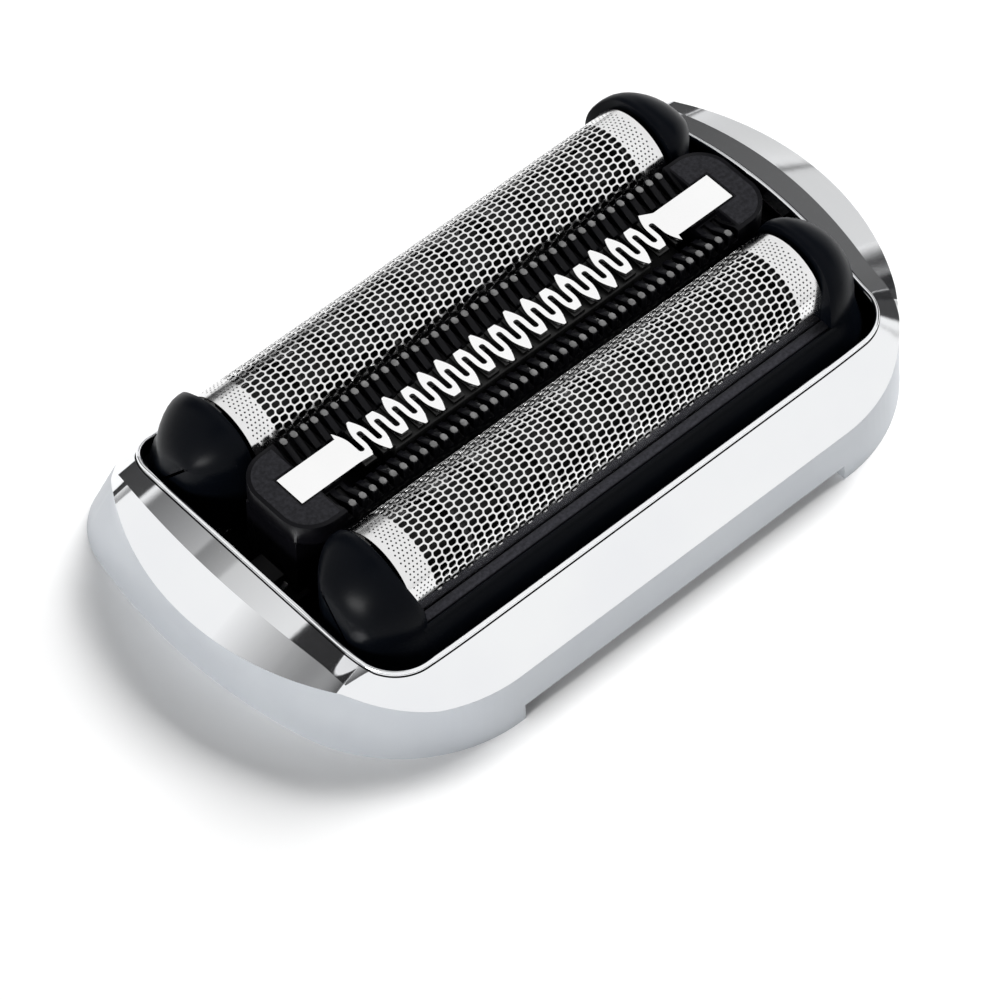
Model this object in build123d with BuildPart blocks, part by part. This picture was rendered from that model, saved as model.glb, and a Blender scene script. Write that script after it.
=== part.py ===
"""Three-element shaver foil head, in millimetres: +X along the foils, +Y to the rear, +Z up.

The head stands on the lower rim of its ring, with the middle of that rim's box at the origin.
Sizes grow outward: the foils and the trimmer set the opening, and the opening sets the ring.
"""
import os
from math import asin, cos, pi, radians, sin, sqrt, tan

from build123d import *

os.makedirs("parts", exist_ok=True)

# Foils: their length and radius drive everything round them
FOIL_HALF_LENGTH = 20.9
FOIL_RADIUS = 3.75
FOIL_THICKNESS = 0.15
FOIL_AXIS_Z = 9.3
FOIL_SKIRT_DROP = 2.4
FOIL_FIT = 0.03
HOLE_ROWS = 3
HOLE_COLUMNS = 9
HOLE_LENGTH = 2.1
HOLE_WIDTH = 0.5
HOLE_ROW_ANGLE = 30.0
HOLE_END_MARGIN = 3.2

# Foil frames
FOIL_SEAT_DEPTH = 0.7
EAR_WALL = 1.2
EAR_DROP = 0.6
EAR_FLAT = 1.7
EAR_STEP = 1.7
EAR_TAPER = 36.0
EAR_SIDE_CUT = 0.1
EAR_SIDE_ROUND = 2.4
INNER_WALL = 0.7
INNER_WALL_DROP = 1.5
OUTER_WALL_DROP = 1.2
FRAME_SKIRT = 0.4
STRIP_HEIGHT = 0.4
STRIP_WIDTH = 0.8
STRIP_MARGIN = 0.05
FRAME_EDGE_CHAMFER = 0.5
SHELF_THICKNESS = 0.8
SHELF_LENGTH = 2.8
SHELF_HALF_WIDTH = 2.0

# Trimmer carrier
TRIMMER_WIDTH = 7.8
TRIMMER_GAP = 0.3
TRIMMER_OVERHANG = 2.0
TRIMMER_RISE = 2.7
TRIMMER_PLATE = 1.8
TRIMMER_END_ROUND = 2.6
POST_INSET = 3.0
POST_LENGTH = 2.8
POST_SIDE = 1.3
CHANNEL_SIDE = 1.6
CHANNEL_WALL = 0.8
CHANNEL_DEPTH = 5.4
CHANNEL_SHELF = 0.8
TRENCH_SIDE = 1.9
COMB_COUNT = 40
COMB_END = 3.6
COMB_GAP_SHARE = 0.48
COMB_DEPTH = 1.05
COMB_INNER_DEPTH = 0.75
COMB_CREST_SIDE = 0.4

# Trimmer blades and slider
BLADE_THICKNESS = 0.3
BLADE_PROUD = 0.05
PLATE_END = 1.95
PLATE_LENGTH = 5.25
PLATE_SIDE = 2.57
PLATE_FIT = 0.07
TRENCH_UNDER_PLATE = 1.6
TOOTH_SLOTS = 18
TOOTH_END = 0.42
TOOTH_SIDE = 0.15
TOOTH_BLUNT = 0.38
SLOT_WIDTH = 0.56
SLOT_MOUTH = 1.2
SLOT_NARROW = 0.34
SLOT_FLARE = 0.75
SLOT_OVERLAP = 0.6
MOVING_GAP = 0.1
MOVING_SIDE = 0.4
MOVING_SLOT = 0.6
MOVING_SLOT_OVERLAP = 0.4
MOVING_END = 0.3
SLIDER_END = 3.0
SLIDER_SIDE = 0.25
SLIDER_GAP = 0.1
SLIDER_REST = 1.0
SLIDER_BORE = 1.2
SLIDER_BORE_DEPTH = 1.6

# Cutters under the foils
CUTTER_GAP = 0.15
LAMELLA_COUNT = 10
LAMELLA_THICKNESS = 0.4
LAMELLA_FACETS = 5
LAMELLA_DROP = 0.9
LAMELLA_FIT = 0.05
LAMELLA_END = 1.0
CARRIER_END = 2.0
CARRIER_HALF_WIDTH = 1.7
CARRIER_RISE = 2.0
CARRIER_SEAT_GAP = 0.1
BOSS_HALF_WIDTH = 2.4
BOSS_DEPTH = 1.7
DRIVE_BORE = 1.5
DRIVE_DEPTH = 3.0

# Opening and mirror bezel
HEAD_Y = 0.98
FRONT_GAP = 1.55
REAR_GAP = 1.1
END_GAP = 0.9
OPENING_END_RADIUS = 90.0
OPENING_CORNER = 3.2
BEZEL_FRONT = 3.82
BEZEL_REAR = 1.1
BEZEL_END = 5.4
BEZEL_WALL = 1.3
BEZEL_LAP = 0.2
BEVEL_SLOPE = 34.0
BEVEL_RISE = 2.75
END_REACH = 9.9
BAND_RISE = 3.9
BAND_REACH = 5.33
BAND_SLOPE = 11.0
BAND_ARCH_RADIUS = 41.0
FACET_RISE = 3.46
FACET_REACH = 3.05
FACET_SLOPE = 28.0
FACET_ARCH_RADIUS = 36.0
SHOULDER_INSET = 2.35
SHOULDER_RUN = 4.6
SHOULDER_REAR_RUN = 2.5
SHOULDER_DROP = 4.4

# Satin ring wall
WALL_TOP = 4.7
END_WALL_RISE = 1.75
TOP_FRONT_CORNER = 12.5
TOP_REAR_CORNER = 5.0
TOP_END_RADIUS = 21.8
RIM_END_INSET = 0.65
RIM_FRONT_SPREAD = 0.34
RIM_FRONT_CORNER = 12.6
RIM_REAR_CORNER = 6.0
RIM_END_RADIUS = 45.0
RIM_END_MIDDLE = 3.5
WALL_THICKNESS = 1.2
WALL_END_THICKNESS = 2.0
WALL_INNER_END_RADIUS = 38.0
WALL_REAR_THICKNESS = 0.9
NOTCH_END = 13.95
NOTCH_HEIGHT = 1.4

# Chassis, its guides and the travel of the floating units
FLOAT_TRAVEL = 1.5
SPRING_STACK = 1.5
CHASSIS_BOTTOM = 0.6
CHASSIS_PLATE = 1.0
CHASSIS_FIT = 0.05
BAY_END = 9.0
BAY_SIDE = 1.95
BAY_CORNER = 2.0
END_WALL_INSET = 0.5
END_WALL_THICKNESS = 1.2
END_WALL_SIDE = 4.15
END_WALL_CROWN = 0.3
TONGUE_HALF_WIDTH = 1.2
TONGUE_HEIGHT = 0.8
TONGUE_ENGAGE = 0.7
GUIDE_CLEARANCE = 0.15
STOP_CLEARANCE = 0.1
FRONT_RIB_THICKNESS = 1.0
FRONT_RIB_GAP = 0.3
FRONT_RIB_HEIGHT = 3.0
FRONT_RIB_END = 7.0
LATCH_INSET = 3.55
LATCH_LENGTH = 7.0
LATCH_WIDTH = 1.4

# Float springs: flat strip bent to a hairpin
SPRING_STRIP = 0.25
SPRING_WIDTH = 3.0
SPRING_LEG = 2.1
SPRING_INSET = 0.3
SPRING_CORNER = 0.8
SPRING_GAP = 0.02

# Lengths worked out from the foils
EAR_INNER_X = FOIL_HALF_LENGTH - FOIL_SEAT_DEPTH
EAR_LENGTH = EAR_FLAT + EAR_STEP
EAR_OUTER_X = EAR_INNER_X + EAR_LENGTH
OPENING_HALF_LENGTH = EAR_OUTER_X + END_GAP
TOP_HALF_LENGTH = OPENING_HALF_LENGTH + BEZEL_END
RIM_HALF_LENGTH = TOP_HALF_LENGTH - RIM_END_INSET
END_START = TOP_HALF_LENGTH - END_REACH
BAND_START = TOP_HALF_LENGTH - BAND_REACH
FACET_START = TOP_HALF_LENGTH - FACET_REACH
NOTCH_LENGTH = 2 * (RIM_HALF_LENGTH - NOTCH_END)
BAY_HALF_LENGTH = OPENING_HALF_LENGTH - BAY_END
END_WALL_X = OPENING_HALF_LENGTH - END_WALL_INSET
TONGUE_REACH = END_WALL_X + TONGUE_ENGAGE
FRONT_RIB_HALF_LENGTH = OPENING_HALF_LENGTH - FRONT_RIB_END
LATCH_X = TOP_HALF_LENGTH - LATCH_INSET
TRIMMER_HALF_LENGTH = EAR_INNER_X + TRIMMER_OVERHANG
POST_X = TRIMMER_HALF_LENGTH - POST_INSET
PLATE_OUTER_X = TRIMMER_HALF_LENGTH - PLATE_END
PLATE_INNER_X = PLATE_OUTER_X - PLATE_LENGTH
TRENCH_HALF_LENGTH = PLATE_INNER_X + TRENCH_UNDER_PLATE
COMB_STEP = 2 * (TRIMMER_HALF_LENGTH - COMB_END) / COMB_COUNT
TOOTH_STEP = 2 * (PLATE_INNER_X - TOOTH_END) / TOOTH_SLOTS
MOVING_HALF_LENGTH = PLATE_INNER_X - MOVING_END
SLIDER_HALF_LENGTH = PLATE_INNER_X - SLIDER_END
SLIDER_SHELF_X = SLIDER_HALF_LENGTH - SLIDER_REST
CARRIER_HALF_LENGTH = EAR_INNER_X - CARRIER_END
LAMELLA_STEP = 2 * (CARRIER_HALF_LENGTH - LAMELLA_END) / (LAMELLA_COUNT - 1)
SPRING_LEG_X = EAR_INNER_X - SPRING_INSET
SPRING_BEND_X = SPRING_LEG_X + SPRING_LEG
HOLE_STEP = 2 * (FOIL_HALF_LENGTH - HOLE_END_MARGIN) / HOLE_COLUMNS

# Depths worked out from the foils and the trimmer
EAR_RADIUS = FOIL_RADIUS + EAR_WALL
EAR_TRIMMER_SIDE = FOIL_RADIUS - EAR_SIDE_CUT
FRAME_TRIMMER_SIDE = FOIL_RADIUS + INNER_WALL
FOIL_SPACING = TRIMMER_WIDTH + 2 * (EAR_TRIMMER_SIDE + TRIMMER_GAP)
FRONT_Y = HEAD_Y - FOIL_SPACING / 2
UNITS_HALF_DEPTH = FOIL_SPACING / 2 + EAR_RADIUS
OPENING_FRONT = HEAD_Y - UNITS_HALF_DEPTH - FRONT_GAP
OPENING_REAR = HEAD_Y + UNITS_HALF_DEPTH + REAR_GAP
TOP_FRONT = OPENING_FRONT - BEZEL_FRONT
TOP_REAR = OPENING_REAR + BEZEL_REAR
RIM_HALF_DEPTH = RIM_FRONT_SPREAD - TOP_FRONT
WALL_INNER_FRONT = TOP_FRONT + WALL_THICKNESS
WALL_INNER_REAR = TOP_REAR - WALL_REAR_THICKNESS
BAY_HALF_WIDTH = HEAD_Y - OPENING_FRONT - BAY_SIDE
END_WALL_HALF_WIDTH = HEAD_Y - OPENING_FRONT - END_WALL_SIDE
POST_HALF_WIDTH = TRIMMER_WIDTH / 2 - POST_SIDE
CHANNEL_HALF_WIDTH = TRIMMER_WIDTH / 2 - CHANNEL_SIDE
TRENCH_HALF_WIDTH = TRIMMER_WIDTH / 2 - TRENCH_SIDE
COMB_CREST_Y = TRIMMER_WIDTH / 2 - COMB_CREST_SIDE
PLATE_HALF_WIDTH = TRIMMER_WIDTH / 2 - PLATE_SIDE
TOOTH_REACH = TRENCH_HALF_WIDTH - TOOTH_SIDE
MOVING_HALF_WIDTH = TRENCH_HALF_WIDTH - MOVING_SIDE
SLIDER_HALF_WIDTH = TRENCH_HALF_WIDTH - SLIDER_SIDE

# Heights
CHASSIS_TOP = CHASSIS_BOTTOM + CHASSIS_PLATE
FRAME_FOOT = CHASSIS_TOP + SPRING_STACK + FLOAT_TRAVEL
FRAME_BOTTOM = FRAME_FOOT - FRAME_SKIRT
FRAME_INNER_TOP = FOIL_AXIS_Z - INNER_WALL_DROP
FRAME_OUTER_TOP = FOIL_AXIS_Z - OUTER_WALL_DROP
FOIL_SKIRT_Z = FOIL_AXIS_Z - FOIL_SKIRT_DROP
EAR_AXIS_Z = FOIL_AXIS_Z - EAR_DROP
STOP_Z = FRAME_FOOT + TONGUE_HEIGHT + STOP_CLEARANCE
END_WALL_HEIGHT = STOP_Z + END_WALL_CROWN - CHASSIS_TOP
HOLLOW_TOP = CHASSIS_TOP + END_WALL_HEIGHT + STOP_CLEARANCE
BAND_TOP = WALL_TOP + BAND_RISE
FACET_TOP = WALL_TOP + FACET_RISE
END_WALL_TOP = WALL_TOP + END_WALL_RISE
TRIMMER_TOP = FOIL_AXIS_Z + TRIMMER_RISE
TRIMMER_UNDERSIDE = TRIMMER_TOP - TRIMMER_PLATE
CHANNEL_BOTTOM = TRIMMER_TOP - CHANNEL_DEPTH
SLIDER_SHELF_TOP = CHANNEL_BOTTOM + CHANNEL_SHELF
COMB_FLOOR = TRIMMER_TOP - COMB_DEPTH
COMB_INNER_Z = TRIMMER_TOP - COMB_INNER_DEPTH
BLADE_TOP = TRIMMER_TOP + BLADE_PROUD
BLADE_BOTTOM = BLADE_TOP - BLADE_THICKNESS
MOVING_TOP = BLADE_BOTTOM - MOVING_GAP
MOVING_BOTTOM = MOVING_TOP - BLADE_THICKNESS
CARRIER_TOP = FOIL_AXIS_Z + CARRIER_RISE
CARRIER_BOTTOM = FRAME_FOOT + SHELF_THICKNESS + CARRIER_SEAT_GAP
BOSS_BOTTOM = CARRIER_BOTTOM - BOSS_DEPTH
LAMELLA_FOOT_Z = FOIL_AXIS_Z - LAMELLA_DROP
LAMELLA_RADIUS = FOIL_RADIUS - FOIL_THICKNESS - CUTTER_GAP

FOIL_SEAT = FOIL_RADIUS + FOIL_FIT
HEAD_PLANE = Plane.XZ.offset(-HEAD_Y)
FAR = 40.0


def end_turns(front, rear, front_corner, rear_corner, end_radius, middle):
    """Angles at which a bowed end meets the front and the rear corner arc."""
    front_turn = asin((front + front_corner - middle) / (end_radius - front_corner))
    rear_turn = asin((rear - rear_corner - middle) / (end_radius - rear_corner))
    return front_turn, rear_turn


def ring_outline(half_length, front, rear, front_corner, rear_corner, end_radius, middle=HEAD_Y, seams=()):
    """Face with straight long sides, ends bowed about a middle line, and corner arcs tangent to both.

    Seams split its arcs at further angles, so that two outlines loft without a twist.
    """
    bow = half_length - end_radius
    front_turn, rear_turn = end_turns(front, rear, front_corner, rear_corner, end_radius, middle)
    front_middle = (bow + (end_radius - front_corner) * cos(front_turn), front + front_corner)
    rear_middle = (bow + (end_radius - rear_corner) * cos(rear_turn), rear - rear_corner)

    def spot(turn, side=1):
        centre, radius = (bow, middle), end_radius
        if turn < front_turn:
            centre, radius = front_middle, front_corner
        elif turn > rear_turn:
            centre, radius = rear_middle, rear_corner
        return side * (centre[0] + radius * cos(turn)), centre[1] + radius * sin(turn)

    turns = sorted({-pi / 2, front_turn, rear_turn, pi / 2, *seams})
    spans = list(zip(turns, turns[1:]))
    right = [ThreePointArc(spot(low), spot((low + high) / 2), spot(high)) for low, high in spans]
    left = [ThreePointArc(spot(high, -1), spot((low + high) / 2, -1), spot(low, -1)) for low, high in spans[::-1]]
    rear_side = Line(spot(pi / 2), spot(pi / 2, -1))
    front_side = Line(spot(-pi / 2, -1), spot(-pi / 2))
    return Face(Wire([*right, rear_side, *left, front_side]))


def above_arch(radius):
    """Face above an arch whose crown is at the origin of its sketch."""
    half = 0.55 * FAR
    foot = sqrt(radius**2 - half**2) - radius
    with BuildSketch() as region:
        with BuildLine():
            ThreePointArc((-half, foot), (0, 0), (half, foot))
            Polyline((half, foot), (half, FAR), (-half, FAR), (-half, foot))
        make_face()
    return region.sketch


def falling_plane(way, start, height, slope):
    """Plane across the head at one end, square to a line that falls outward through a point."""
    run = cos(radians(slope))
    fall = sin(radians(slope))
    return Plane(origin=(way * start, HEAD_Y, height), x_dir=(0, way, 0), z_dir=(way * run, 0, -fall))


def shoulder_profile(top, base):
    """Face in Y and Z: what lies above the ends' shoulders, which fall to the long sides' height."""
    front_in = OPENING_FRONT + SHOULDER_INSET
    rear_in = WALL_INNER_REAR - BEZEL_LAP - SHOULDER_REAR_RUN
    with BuildSketch() as region:
        with BuildLine():
            Polyline(
                (-FAR, base),
                (front_in - SHOULDER_RUN, base),
                (front_in, top),
                (rear_in, top),
                (rear_in + SHOULDER_REAR_RUN, base),
                (FAR, base),
                (FAR, FAR),
                (-FAR, FAR),
                close=True,
            )
        make_face()
    return region.sketch


rim_form = (-RIM_HALF_DEPTH, RIM_HALF_DEPTH, RIM_FRONT_CORNER, RIM_REAR_CORNER, RIM_END_RADIUS, RIM_END_MIDDLE)
top_form = (TOP_FRONT, TOP_REAR, TOP_FRONT_CORNER, TOP_REAR_CORNER, TOP_END_RADIUS, HEAD_Y)
lower_rim = ring_outline(RIM_HALF_LENGTH, *rim_form, seams=end_turns(*top_form))
wall_top = ring_outline(TOP_HALF_LENGTH, *top_form, seams=end_turns(*rim_form))
opening = ring_outline(
    OPENING_HALF_LENGTH, OPENING_FRONT, OPENING_REAR, OPENING_CORNER, OPENING_CORNER, OPENING_END_RADIUS
)


def inner_wall(clearance):
    """Face inside the ring's wall, smaller by a clearance."""
    return ring_outline(
        TOP_HALF_LENGTH - WALL_END_THICKNESS - clearance,
        WALL_INNER_FRONT + clearance,
        WALL_INNER_REAR - clearance,
        TOP_FRONT_CORNER - WALL_THICKNESS - clearance,
        TOP_REAR_CORNER - WALL_REAR_THICKNESS - clearance,
        WALL_INNER_END_RADIUS - clearance,
    )


# Whole form of the ring, before it is split by finish
with BuildPart() as end_form:
    with BuildSketch(Plane.XY.offset(WALL_TOP)):
        add(wall_top)
    extrude(amount=BAND_TOP)
    Box(2 * END_START, 2 * FAR, 2 * FAR, mode=Mode.SUBTRACT)
    for way in (-1, 1):
        with BuildSketch(falling_plane(way, BAND_START, BAND_TOP, BAND_SLOPE)):
            add(above_arch(BAND_ARCH_RADIUS))
        extrude(amount=FAR, both=True, mode=Mode.SUBTRACT)
        with BuildSketch(falling_plane(way, FACET_START, FACET_TOP, FACET_SLOPE)):
            add(above_arch(FACET_ARCH_RADIUS))
        extrude(amount=FAR, both=True, mode=Mode.SUBTRACT)
    with BuildSketch(Plane.YZ):
        add(shoulder_profile(WALL_TOP + SHOULDER_DROP, WALL_TOP))
    extrude(amount=FAR, both=True, mode=Mode.SUBTRACT)

with BuildPart() as ring_form:
    loft([lower_rim, wall_top.moved(Location((0, 0, WALL_TOP)))], ruled=True)
    with BuildSketch(Plane.XY.offset(WALL_TOP)):
        add(wall_top)
    extrude(amount=BEVEL_RISE, taper=90 - BEVEL_SLOPE)
    add(end_form.part)

# Satin ring wall
with BuildPart() as outer_frame:
    loft([lower_rim, wall_top.moved(Location((0, 0, WALL_TOP)))], ruled=True)
    with BuildSketch(Plane.XY.offset(WALL_TOP)):
        add(wall_top)
    extrude(amount=END_WALL_TOP)
    with BuildSketch():
        add(inner_wall(0))
    extrude(amount=FAR, mode=Mode.SUBTRACT)
    with BuildSketch(Plane.YZ):
        add(shoulder_profile(END_WALL_TOP, WALL_TOP))
    extrude(amount=FAR, both=True, mode=Mode.SUBTRACT)
    Box(NOTCH_LENGTH, 2 * FAR, 2 * NOTCH_HEIGHT, mode=Mode.SUBTRACT)
outer_frame.part.label = "outer_frame"
export_step(outer_frame.part, "parts/outer_frame.step")

# Mirror bezel: hollow under the bevel, solid round the opening
HOLLOW_SPRING = WALL_TOP + (WALL_THICKNESS - BEZEL_LAP) * tan(radians(BEVEL_SLOPE)) - BEZEL_WALL
with BuildPart() as bezel_hollow:
    with BuildSketch():
        add(inner_wall(-BEZEL_LAP))
    extrude(amount=HOLLOW_SPRING)
    with BuildSketch(Plane.XY.offset(HOLLOW_SPRING)):
        add(inner_wall(-BEZEL_LAP))
    extrude(amount=HOLLOW_TOP - HOLLOW_SPRING, taper=90 - BEVEL_SLOPE)
    for way in (-1, 1):
        with Locations((way * END_WALL_X, HEAD_Y, 0)):
            Box(
                2 * (END_WALL_THICKNESS + GUIDE_CLEARANCE),
                2 * (END_WALL_HALF_WIDTH + GUIDE_CLEARANCE),
                HOLLOW_TOP,
                align=(Align.CENTER, Align.CENTER, Align.MIN),
            )

with BuildPart() as chrome_bezel:
    add(ring_form.part)
    with BuildSketch():
        add(opening)
    extrude(amount=FAR, mode=Mode.SUBTRACT)
    Box(2 * FAR, 2 * FAR, 2 * (WALL_TOP - BEZEL_WALL), mode=Mode.SUBTRACT)
    add(bezel_hollow.part, mode=Mode.SUBTRACT)
    add(outer_frame.part, mode=Mode.SUBTRACT)
chrome_bezel.part.label = "chrome_bezel"
export_step(chrome_bezel.part, "parts/chrome_bezel.step")

# Inner chassis: plate with the drive bay, guide walls at both ends
with BuildPart() as chassis:
    with BuildSketch(Plane.XY.offset(CHASSIS_BOTTOM)):
        add(inner_wall(CHASSIS_FIT))
        with Locations((0, HEAD_Y)):
            RectangleRounded(2 * BAY_HALF_LENGTH, 2 * BAY_HALF_WIDTH, BAY_CORNER, mode=Mode.SUBTRACT)
        with Locations((-LATCH_X, HEAD_Y), (LATCH_X, HEAD_Y)):
            Rectangle(LATCH_WIDTH, LATCH_LENGTH, mode=Mode.SUBTRACT)
    extrude(amount=CHASSIS_PLATE)
    for way in (-1, 1):
        with Locations((way * (END_WALL_X + END_WALL_THICKNESS / 2), HEAD_Y, CHASSIS_TOP)):
            Box(
                END_WALL_THICKNESS,
                2 * END_WALL_HALF_WIDTH,
                END_WALL_HEIGHT,
                align=(Align.CENTER, Align.CENTER, Align.MIN),
            )
    with Locations((0, HEAD_Y, CHASSIS_TOP)):
        with GridLocations(0, FOIL_SPACING / 2, 1, 3):
            Box(
                2 * FAR,
                2 * (TONGUE_HALF_WIDTH + GUIDE_CLEARANCE),
                STOP_Z - CHASSIS_TOP,
                align=(Align.CENTER, Align.CENTER, Align.MIN),
                mode=Mode.SUBTRACT,
            )
    with Locations((0, OPENING_FRONT - FRONT_RIB_GAP, CHASSIS_TOP)):
        Box(
            2 * FRONT_RIB_HALF_LENGTH,
            FRONT_RIB_THICKNESS,
            FRONT_RIB_HEIGHT,
            align=(Align.CENTER, Align.MAX, Align.MIN),
        )
chassis.part.label = "chassis"
export_step(chassis.part, "parts/chassis.step")

# Front foil frame: an arched ear with rounded edges at each end, walls along both sides
with BuildPart() as front_foil_frame:
    with BuildSketch(Plane.YZ.offset(EAR_INNER_X)) as ear:
        with Locations((FRONT_Y, EAR_AXIS_Z)):
            Circle(EAR_RADIUS)
        with Locations((FRONT_Y, FRAME_FOOT)):
            Rectangle(2 * EAR_RADIUS, EAR_AXIS_Z - FRAME_FOOT, align=(Align.CENTER, Align.MIN))
        with Locations((FRONT_Y + EAR_TRIMMER_SIDE, 0)):
            Rectangle(FAR, FAR, align=(Align.MIN, Align.MIN), mode=Mode.SUBTRACT)
        with Locations((0, FRAME_FOOT)):
            Rectangle(2 * FAR, FAR, align=(Align.CENTER, Align.MAX), mode=Mode.SUBTRACT)
        fillet(ear.vertices().sort_by(Axis.Y)[-2:].sort_by(Axis.Z)[-1], EAR_SIDE_ROUND)
    extrude(amount=EAR_FLAT)
    extrude(front_foil_frame.faces().sort_by(Axis.X)[-1], amount=EAR_STEP, taper=EAR_TAPER)
    with Locations((EAR_INNER_X, FRONT_Y + EAR_TRIMMER_SIDE, FRAME_FOOT)):
        Box(
            EAR_FLAT,
            FRAME_TRIMMER_SIDE - EAR_TRIMMER_SIDE,
            FRAME_INNER_TOP - FRAME_FOOT,
            align=(Align.MIN, Align.MIN, Align.MIN),
        )
    with BuildSketch(Plane.YZ.offset(EAR_INNER_X)):
        with Locations((FRONT_Y, FOIL_AXIS_Z)):
            Circle(FOIL_SEAT)
        with Locations((FRONT_Y, FOIL_SKIRT_Z - FOIL_FIT)):
            Rectangle(2 * FOIL_SEAT, FOIL_AXIS_Z - FOIL_SKIRT_Z + FOIL_FIT, align=(Align.CENTER, Align.MIN))
        with Locations((FRONT_Y, FOIL_SKIRT_Z - FOIL_FIT)):
            Rectangle(FAR, FAR, align=(Align.CENTER, Align.MAX), mode=Mode.SUBTRACT)
    extrude(amount=FOIL_HALF_LENGTH + FOIL_FIT - EAR_INNER_X, mode=Mode.SUBTRACT)
    with Locations((EAR_INNER_X - SHELF_LENGTH, FRONT_Y, FRAME_FOOT)):
        Box(
            SHELF_LENGTH,
            2 * SHELF_HALF_WIDTH,
            SHELF_THICKNESS,
            align=(Align.MIN, Align.CENTER, Align.MIN),
        )
    with Locations((EAR_INNER_X + EAR_LENGTH / 2, FRONT_Y, FRAME_FOOT)):
        Box(
            TONGUE_REACH - EAR_INNER_X - EAR_LENGTH / 2,
            2 * TONGUE_HALF_WIDTH,
            TONGUE_HEIGHT,
            align=(Align.MIN, Align.CENTER, Align.MIN),
        )
    with BuildSketch(Plane.YZ):
        with BuildLine():
            edge_y = FRONT_Y - EAR_RADIUS
            edge_z = FRAME_OUTER_TOP + STRIP_HEIGHT
            pocket_y = FRONT_Y - FOIL_SEAT - STRIP_WIDTH - 2 * STRIP_MARGIN
            Polyline(
                (FRONT_Y - FOIL_SEAT, FRAME_BOTTOM),
                (FRONT_Y - FOIL_SEAT, FRAME_OUTER_TOP),
                (pocket_y, FRAME_OUTER_TOP),
                (pocket_y, edge_z),
                (edge_y + FRAME_EDGE_CHAMFER / 2, edge_z),
                (edge_y, edge_z - FRAME_EDGE_CHAMFER),
                (edge_y, FRAME_BOTTOM),
                close=True,
            )
        make_face()
    extrude(amount=EAR_INNER_X)
    with Locations((0, FRONT_Y + FOIL_SEAT, FRAME_BOTTOM)):
        Box(
            EAR_INNER_X,
            FRAME_TRIMMER_SIDE - FOIL_SEAT,
            FRAME_INNER_TOP - FRAME_BOTTOM,
            align=(Align.MIN, Align.MIN, Align.MIN),
        )
    mirror(about=Plane.YZ)
front_foil_frame.part.label = "front_foil_frame"
export_step(front_foil_frame.part, "parts/front_foil_frame.step")

with BuildPart() as rear_foil_frame:
    mirror(front_foil_frame.part, about=HEAD_PLANE)
rear_foil_frame.part.label = "rear_foil_frame"
export_step(rear_foil_frame.part, "parts/rear_foil_frame.step")

# Foils: thin sheet bent over the cutter, with straight skirts and staggered rows of slots
with BuildPart() as front_foil:
    with BuildSketch(Plane.YZ.offset(-FOIL_HALF_LENGTH)):
        with Locations((FRONT_Y, FOIL_AXIS_Z)):
            Circle(FOIL_RADIUS)
        with Locations((FRONT_Y, FOIL_SKIRT_Z)):
            Rectangle(2 * FOIL_RADIUS, FOIL_AXIS_Z - FOIL_SKIRT_Z, align=(Align.CENTER, Align.MIN))
        with Locations((FRONT_Y, FOIL_AXIS_Z)):
            Circle(FOIL_RADIUS - FOIL_THICKNESS, mode=Mode.SUBTRACT)
        with Locations((FRONT_Y, FOIL_AXIS_Z)):
            Rectangle(2 * (FOIL_RADIUS - FOIL_THICKNESS), FAR, align=(Align.CENTER, Align.MAX), mode=Mode.SUBTRACT)
        with Locations((FRONT_Y, FOIL_SKIRT_Z)):
            Rectangle(FAR, FAR, align=(Align.CENTER, Align.MAX), mode=Mode.SUBTRACT)
    extrude(amount=2 * FOIL_HALF_LENGTH)
    for row in range(HOLE_ROWS):
        turn = radians(HOLE_ROW_ANGLE * (row - (HOLE_ROWS - 1) / 2))
        aim = Plane(origin=(0, FRONT_Y, FOIL_AXIS_Z), x_dir=(1, 0, 0), z_dir=(0, sin(turn), cos(turn)))
        with BuildSketch(aim):
            with GridLocations(HOLE_STEP, 0, HOLE_COLUMNS - row % 2, 1):
                Rectangle(HOLE_LENGTH, HOLE_WIDTH)
        extrude(amount=2 * FOIL_RADIUS, mode=Mode.SUBTRACT)
front_foil.part.label = "front_foil"
export_step(front_foil.part, "parts/front_foil.step")

with BuildPart() as rear_foil:
    mirror(front_foil.part, about=HEAD_PLANE)
rear_foil.part.label = "rear_foil"
export_step(rear_foil.part, "parts/rear_foil.step")

# Textured strip on the long wall beside each foil
with BuildPart() as front_ledge_strip:
    with Locations((0, FRONT_Y - FOIL_SEAT - STRIP_MARGIN, FRAME_OUTER_TOP)):
        Box(
            2 * (EAR_INNER_X - STRIP_MARGIN),
            STRIP_WIDTH,
            STRIP_HEIGHT,
            align=(Align.CENTER, Align.MAX, Align.MIN),
        )
front_ledge_strip.part.label = "front_ledge_strip"
export_step(front_ledge_strip.part, "parts/front_ledge_strip.step")

with BuildPart() as rear_ledge_strip:
    mirror(front_ledge_strip.part, about=HEAD_PLANE)
rear_ledge_strip.part.label = "rear_ledge_strip"
export_step(rear_ledge_strip.part, "parts/rear_ledge_strip.step")

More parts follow.
